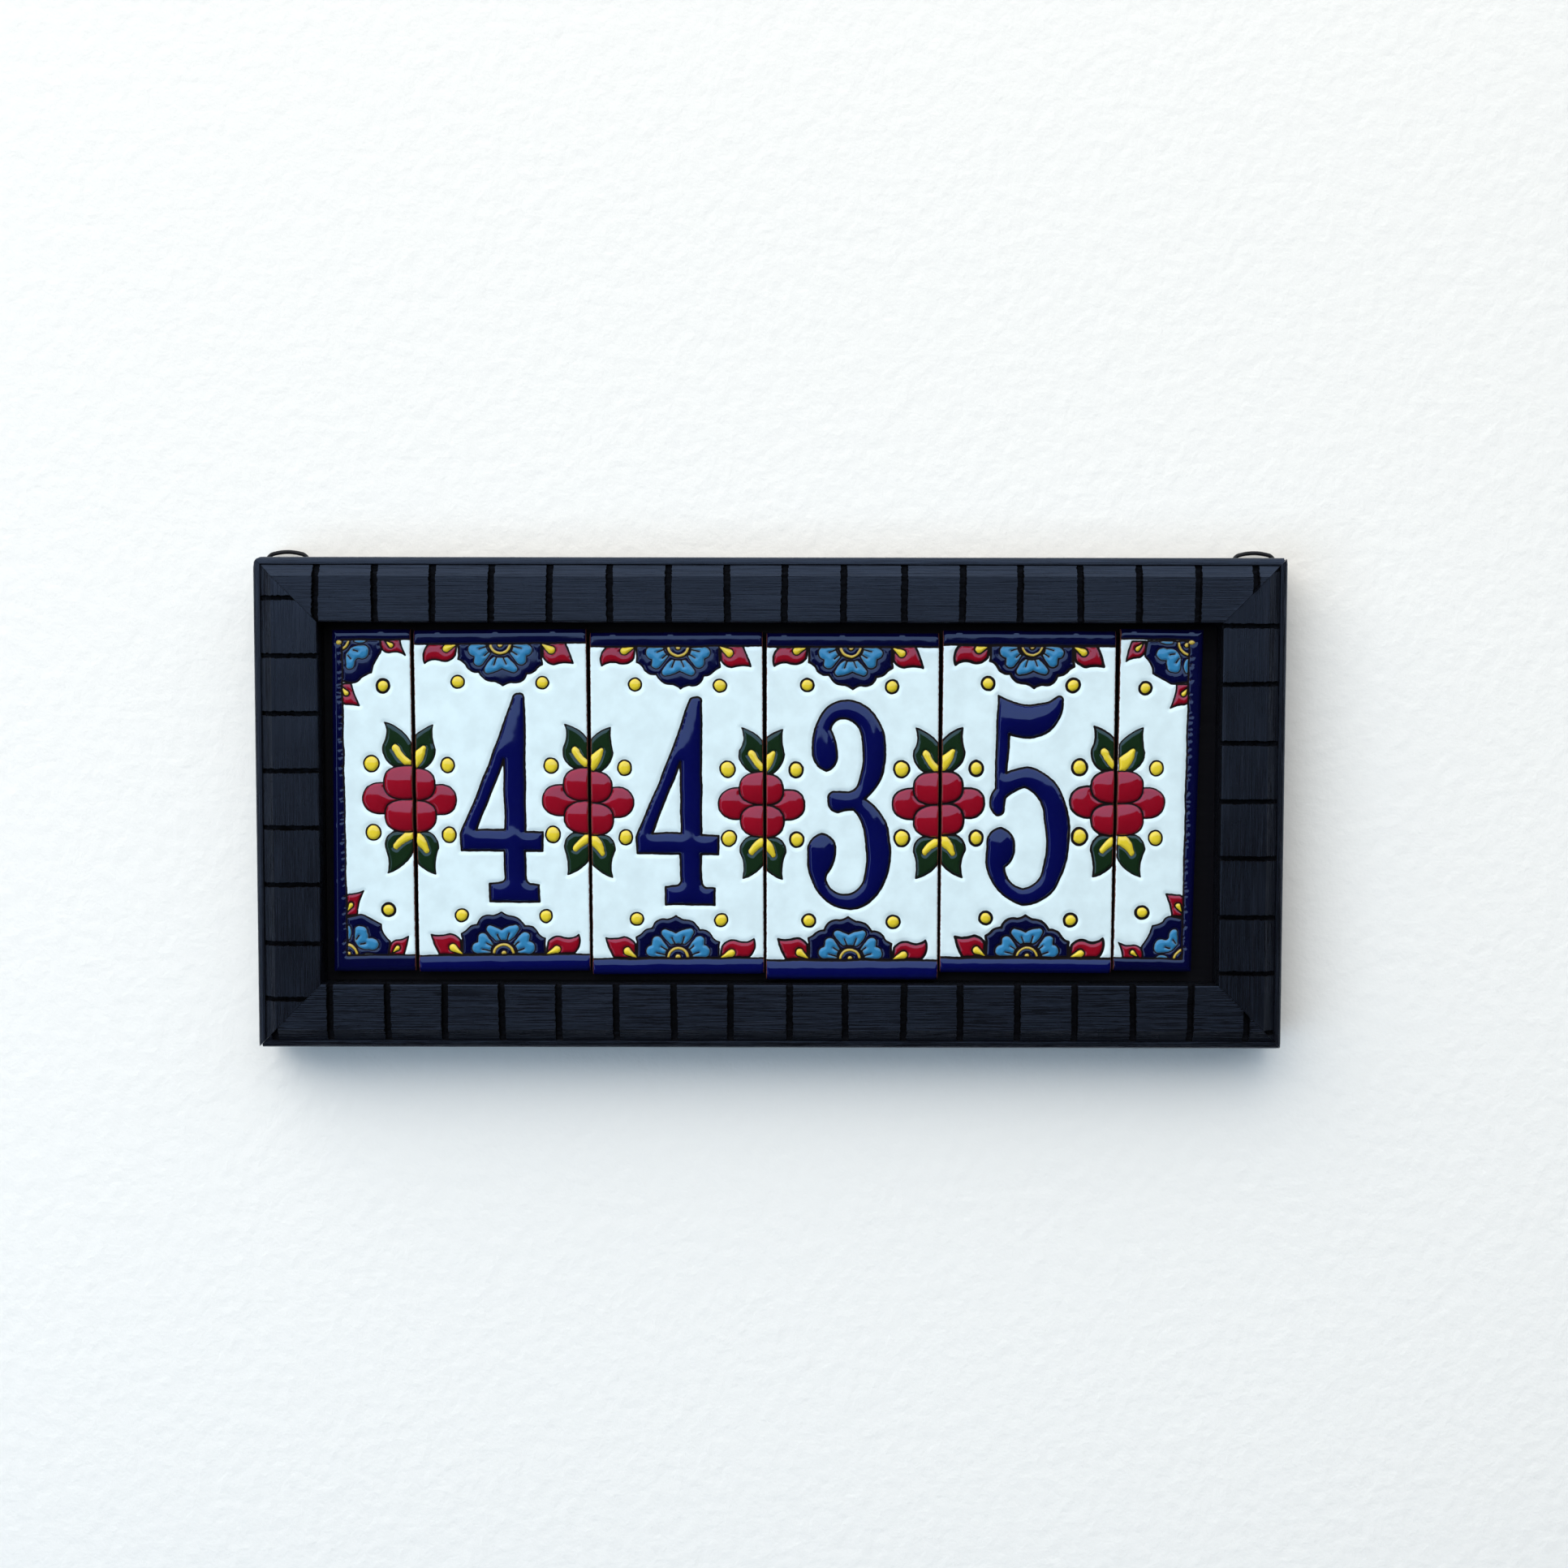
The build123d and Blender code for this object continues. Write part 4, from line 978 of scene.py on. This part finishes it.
def moulding(node, along, outward, phase, pitch):
    """One mitred rail with its saw notches, which stands for a CAD node."""
    size = sizes()
    profile, quirk_in = moulding_profile()
    along, outward = Vector(along), Vector(outward)
    width = size.rail_width / MM
    lies = abs(along.x) > 0
    half_outer = (outer_width if lies else outer_height) / 2 / MM
    half_sight = half_outer - width
    sight_level = (outer_height if lies else outer_width) / 2 / MM - width
    chance = np.random.default_rng(size.seed + sum(map(ord, node)))
    first = math.ceil((-half_outer - phase) / pitch)
    last = math.floor((half_outer - phase) / pitch)
    places = [phase + k * pitch for k in range(first, last + 1)]
    notches = [place + chance.uniform(-NOTCH_WANDER, NOTCH_WANDER) for place in places]
    half_notch = size.notch_width / MM / 2 * (1 if lies else STILE_NOTCH)
    stations = np.arange(-half_outer, half_outer + 0.1, STATION_PITCH)
    clear = half_notch + STATION_CLEAR
    marks = [(s, None, False) for s in stations if all(abs(s - n) > clear for n in notches)]
    for n in notches:
        for side in (-1, 1):
            marks += [(n + side * (half_notch + beyond), n, beyond <= 0) for beyond in WALL_ROWS]
    marks.sort(key=lambda mark: mark[0])
    rows = len(marks)
    columns = len(profile)
    x = np.repeat(np.array([m[0] for m in marks])[:, None], columns, 1)
    out = np.repeat(profile[None, :, 0], rows, 0).copy()
    level = np.repeat(profile[None, :, 1], rows, 0).copy()
    lip = (size.frame_depth - size.lip_depth) / MM
    front = (profile[:, 0] <= quirk_in + 1e-6) & (profile[:, 1] > lip + 0.01)
    floor = (size.frame_depth - size.notch_depth) / MM
    slant = {n: chance.uniform(-NOTCH_SLANT, NOTCH_SLANT) for n in notches}
    ragged = {n: chance.uniform(-NOTCH_RAGGED, NOTCH_RAGGED, (2, columns)) for n in notches}
    for row, (s, n, inside) in enumerate(marks):
        if n is None:
            continue
        side = 0 if s < n else 1
        x[row] += np.where(front, slant[n] * (profile[:, 0] - width / 2) + ragged[n][side], 0)
        if inside:
            worn = floor + chance.uniform(-NOTCH_WORN, NOTCH_WORN, columns)
            level[row] = np.where(front, np.minimum(level[row], worn), level[row])
    wave = ripple(x, out, int(chance.integers(999)), FACE_WAVELENGTH)
    level = np.where(front[None, :], level + FACE_WAVE * np.minimum(wave - 1, 0), level)
    limit = half_sight + out - size.mitre_gap / MM / 2 * math.sqrt(2)
    x = np.clip(x, -limit, limit)
    for end, radius in zip((-1, 1), CORNER_RADII[node]):
        past_x = np.maximum(end * x - half_outer + radius, 0)
        past_out = np.maximum(out - width + radius, 0)
        pull = np.minimum(1, radius / np.maximum(np.hypot(past_x, past_out), 1e-9))
        x = np.where(pull < 1, x - end * past_x * (1 - pull), x)
        out = np.where(pull < 1, out - past_out * (1 - pull), out)
    points = np.multiply.outer(x, along) + np.multiply.outer(out + sight_level, outward)
    points += np.multiply.outer(level, (0, -1, 0))
    index = np.arange(rows * columns).reshape(rows, columns)
    ahead = np.roll(index, -1, 1)
    quads = np.stack([index[:-1], index[1:], ahead[1:], ahead[:-1]], -1).reshape(-1, 4)
    flat_x = x.ravel()
    spread = flat_x[quads].max(1) - flat_x[quads].min(1)
    quads = quads[spread > 1e-6]
    caps = [index[0, :].tolist(), index[-1, ::-1].tolist()]
    made = mesh_object("notched_" + node, (points.reshape(-1, 3) * MM).tolist(), quads.tolist() + caps)
    made.data.materials.append(bpy.data.materials["stained_wood"])
    girth = np.concatenate([[0], np.cumsum(np.linalg.norm(np.diff(profile, axis=0), axis=1))])
    across = np.repeat(girth[None, :], rows, 0)
    bare = np.where(front[None, :], profile[None, :, 1] - level, 0)
    shift = float(chance.uniform(0, 500))
    carry(made, "wood", np.stack([x + shift, across + shift, bare], -1).reshape(-1, 3))
    made.data.set_sharp_from_angle(angle=math.radians(25))
    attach(made, BODY)
    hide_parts(node)


def wood_finish():
    """Open-grained wood under a worn black stain, with a painted blue sheen."""
    finish = Finish("stained_wood")
    tint = colours()
    vector, _, _, bare = finish.attribute("wood")
    fibre = finish.noise(finish.place((0.05, 3.2, 1), vector), 1.0, 3, 0.65)
    streak = finish.noise(finish.place((0.018, 0.9, 1), vector), 1.0, 4, 0.6, 0.3)
    crack = finish.noise(finish.place((0.012, 1.5, 1), vector), 1.0, 2, 0.5, 0.2)
    cloud = finish.noise(finish.place((0.05, 0.07, 1), vector), 1.0, 3)
    specks = finish.noise(finish.place((1.1, 1.1, 1), vector), 1.0, 2)
    pore = fibre.step(0.36, 0.52)
    split = crack.step(0.66, 0.70)
    hue = finish.mix(pore, toned(tint.stain, 0.4), tint.stain)
    hue = finish.mix(streak.step(0.5, 0.75), hue, toned(tint.stain, 2.2))
    hue = finish.mix(split, hue, toned(tint.stain, 0.2))
    hue = finish.mix(specks.step(0.80, 0.86), hue, (0.20, 0.19, 0.18))
    sunk = bare.step(0.25, 0.55)
    relief = pore * 0.5 + streak * 0.7 + fibre * 0.3 - split
    satin_and_painted_sheen = finish.coating(
        Base_Color=hue,
        Roughness=0.22 + 0.10 * cloud + 0.25 * (1 - pore) + 0.2 * split,
        IOR=1.65,
        # Painted sheen: the blue specular tint gives the wood's reflections the colour of a blue sky
        Specular_Tint=(0.44, 0.61, 1.0),
        Normal=finish.bump(relief, 0.00007, 0.9),
    )
    sawn = finish.coating(Base_Color=hue, Roughness=0.8, Specular_IOR_Level=0.1)
    dull = sunk * 0.9 + split * 0.1
    return finish.surface(finish.blend(dull, satin_and_painted_sheen, sawn))


class PLAQUE_OT_rails(bpy.types.Operator):
    """Build the four notched lengths of moulding"""

    bl_idname = "plaque.rails"
    bl_label = "Rails"

    def execute(self, context):
        for node, measures in RAILS.items():
            moulding(node, *measures)
        return {"FINISHED"}


def board_finish():
    """Flat black paint in front, bare hardboard behind."""
    finish = Finish("painted_board")
    tint = colours()
    spot = finish.place()
    grain = finish.noise(finish.place((40, 500, 500), spot), 1.0, 4)
    dust = finish.noise(spot, 1300, 2)
    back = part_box("backing_board")[1].y
    depth = finish.parts(spot)["Y"]
    behind = depth.step(back - 0.4 * MM, back - 0.3 * MM)
    paint = finish.mix(dust.step(0.74, 0.82), tint.board, (0.03, 0.03, 0.035))
    bare = finish.mix(grain.step(0.3, 0.7), toned(tint.back, 0.6), tint.back)
    coat = finish.coating(
        Base_Color=finish.mix(behind, paint, bare),
        Roughness=0.5 + 0.3 * grain,
        Specular_IOR_Level=0.2,
        Normal=finish.bump(grain, 0.0001, 0.4),
    )
    return finish.surface(coat)


def metal_finish(name, tint, rough, metal):
    """Sheet or wire with scuffs and a mottled plating."""
    finish = Finish(name)
    spot = finish.place()
    mottle = finish.noise(spot, 420, 4)
    scuff = finish.noise(finish.place((300, 2200, 2200), spot), 1.0, 2)
    hue = finish.mix(mottle.step(0.3, 0.7), toned(tint, 0.7), tint)
    hue = finish.mix(scuff.step(0.66, 0.8), hue, toned(tint, 2.2))
    coat = finish.coating(
        Base_Color=hue,
        Metallic=metal,
        Roughness=rough + 0.2 * mottle,
        Normal=finish.bump(scuff, 0.00003, 0.5),
    )
    return finish.surface(coat)


def repaint(node, material):
    """Give a CAD node a finish."""
    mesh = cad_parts[node].data
    mesh.materials.clear()
    mesh.materials.append(material)


class PLAQUE_OT_hardware(bpy.types.Operator):
    """Finish the board, the hangers and the fasteners"""

    bl_idname = "plaque.hardware"
    bl_label = "Board and Hardware"

    def execute(self, context):
        tint = colours()
        repaint("backing_board", board_finish())
        black = metal_finish("blackened_steel", tint.hanger, 0.32, 0.85)
        for node in ("hanger_strap_left", "hanger_strap_right", "hanger_ring_left", "hanger_ring_right"):
            repaint(node, black)
        repaint("hanger_screws", metal_finish("screw_steel", toned(tint.steel, 0.7), 0.3, 1.0))
        bright = metal_finish("nail_steel", tint.steel, 0.35, 1.0)
        for node in ("corner_v_nails", "frame_points"):
            repaint(node, bright)
        return {"FINISHED"}


def wall_finish():
    """Plain pale wall paint with a faint orange-peel texture, and painted shade that darkens it towards the
    top and the left.
    """
    finish = Finish("wall_paint")
    tint = colours().wall
    spot = finish.place()
    peel = finish.noise(spot, 220, 3)
    cloud = finish.noise(spot, 6, 2)
    place = finish.parts(spot)
    # Painted shade: up to 16% darker towards the top and 6% darker towards the left, where the lamps light
    # the wall most
    shade = (1 - 0.16 * place["Z"].step(-0.25, 0.3)) * (1 - 0.06 * place["X"].step(0.25, -0.25))
    hue = finish.mix(shade, (0, 0, 0), tint)
    hue = finish.mix(0.03 * cloud, hue, (0.8, 0.84, 0.88))
    coat = finish.coating(Base_Color=hue, Roughness=0.85, Normal=finish.bump(peel, 0.0006, 0.5))
    rays = finish.node("ShaderNodeLightPath")
    seen = rays["Is Camera Ray"] + rays["Is Glossy Ray"] + rays["Is Transmission Ray"]
    front = 1 - finish.node("ShaderNodeNewGeometry")["Backfacing"]
    clear = finish.node("ShaderNodeBsdfTransparent")["BSDF"]
    return finish.surface(finish.blend(seen * front, clear, coat))


def flag_finish():
    """Black cloth that keeps light from the front off the glaze."""
    finish = Finish("black_cloth")
    weave = finish.noise(finish.place(), 60, 2)
    hue = finish.mix(weave, (0.02, 0.022, 0.026), (0.03, 0.032, 0.036))
    return finish.surface(finish.coating(Base_Color=hue, Roughness=0.9))


def softbox(name, place, wide, tall, power, tint):
    """A rectangular lamp that neither the camera nor a reflection shows."""
    lamp = bpy.data.lights.new(name, "AREA")
    lamp.shape = "RECTANGLE"
    lamp.size, lamp.size_y = wide, tall
    lamp.energy = power
    lamp.color = tint
    made = bpy.data.objects.new(name, lamp)
    made.location = place
    made.rotation_euler = (-Vector(place)).to_track_quat("-Z", "Y").to_euler()
    made.visible_camera = False
    made.visible_glossy = False
    bpy.context.scene.collection.objects.link(made)


class PLAQUE_OT_stage(bpy.types.Operator):
    """Set up the wall, the lights and the camera"""

    bl_idname = "plaque.stage"
    bl_label = "Stage"

    def execute(self, context):
        scene = context.scene
        scene.view_settings.view_transform = "Standard"
        wall_y = cad_bounds[1][1] + 0.3 * MM
        half_wall = 3.0
        corners = [(x * half_wall, wall_y, z * half_wall) for x, z in ((-1, -1), (1, -1), (1, 1), (-1, 1))]
        wall = mesh_object("wall", corners, [(0, 1, 2, 3)])
        wall.data.materials.append(wall_finish())
        world = bpy.data.worlds.new("studio")
        scene.world = world
        world.use_nodes = True
        ground = world.node_tree.nodes["Background"]
        ground.inputs["Color"].default_value = (0.92, 0.97, 1.0, 1)
        ground.inputs["Strength"].default_value = 1.2
        left, right, front, foot, top = -1.5, 1.6, -1.6, -1.2, 0.45
        rim = ((left, 0.08), (0.25, 0.08), (1.0, top), (right, top))
        posts = [(x, front, z) for x, z in rim]
        posts += [(x, y, foot) for y in (front, wall_y) for x, _ in rim]
        wings = ((left, -0.9), (right, front))
        posts += [(x, y, z) for x, start in wings for y in (start, wall_y) for z in (foot, top)]
        cloths = [(k, k + 4, k + 5, k + 1) for k in (0, 1, 2, 4, 5, 6)]
        cloths += [(k, k + 1, k + 3, k + 2) for k in (12, 16)]
        flag = mesh_object("flag", posts, cloths, smooth=False)
        flag.data.materials.append(flag_finish())
        flag.visible_camera = False
        softbox("overhead", (-0.85, -1.1, 1.5), wide=3.6, tall=1.9, power=60, tint=(0.99, 0.89, 0.75))
        softbox("low_fill", (-0.7, -1.45, -0.5), wide=3.0, tall=1.0, power=20.5, tint=(0.55, 0.78, 1.0))
        lens = bpy.data.cameras.new("camera")
        photo_width, focal_pixels = 1932, 2600
        lens.sensor_width = 36
        lens.lens = focal_pixels / photo_width * lens.sensor_width
        lens.clip_start = 0.01
        camera = bpy.data.objects.new("camera", lens)
        pan, tilt, roll = math.radians(0.15), math.radians(90 - 3.37), math.radians(0.08)
        turn = Matrix.Rotation(pan, 4, "Z") @ Matrix.Rotation(tilt, 4, "X") @ Matrix.Rotation(roll, 4, "Z")
        eye = (0.0061, -0.6663, 0.0446)
        camera.matrix_world = Matrix.Translation(eye) @ turn
        scene.collection.objects.link(camera)
        scene.camera = camera
        return {"FINISHED"}


class PLAQUE_PT_panel(bpy.types.Panel):
    """Sizes, colours and steps of the plaque"""

    bl_label = "Plaque"
    bl_space_type = "VIEW_3D"
    bl_region_type = "UI"
    bl_category = "Plaque"

    def draw(self, context):
        layout = self.layout
        for step in STEPS:
            layout.operator(step.bl_idname)
        for group in (context.scene.plaque_sizes, context.scene.plaque_colours):
            for name in group.__annotations__:
                layout.prop(group, name)


STEPS = (PLAQUE_OT_rails, PLAQUE_OT_number_tiles, PLAQUE_OT_end_tiles, PLAQUE_OT_hardware, PLAQUE_OT_stage)
CLASSES = (PlaqueSizes, PlaqueColours, *STEPS, PLAQUE_PT_panel)


def register():
    for made in CLASSES:
        bpy.utils.register_class(made)
    bpy.types.Scene.plaque_sizes = PointerProperty(type=PlaqueSizes)
    bpy.types.Scene.plaque_colours = PointerProperty(type=PlaqueColours)


def unregister():
    del bpy.types.Scene.plaque_colours
    del bpy.types.Scene.plaque_sizes
    for made in reversed(CLASSES):
        bpy.utils.unregister_class(made)


def main():
    register()
    glaze_finish()
    clay_finish()
    wood_finish()
    bpy.ops.plaque.rails()
    bpy.ops.plaque.number_tiles()
    bpy.ops.plaque.end_tiles()
    bpy.ops.plaque.hardware()
    bpy.ops.plaque.stage()


if __name__ == "__main__":
    main()
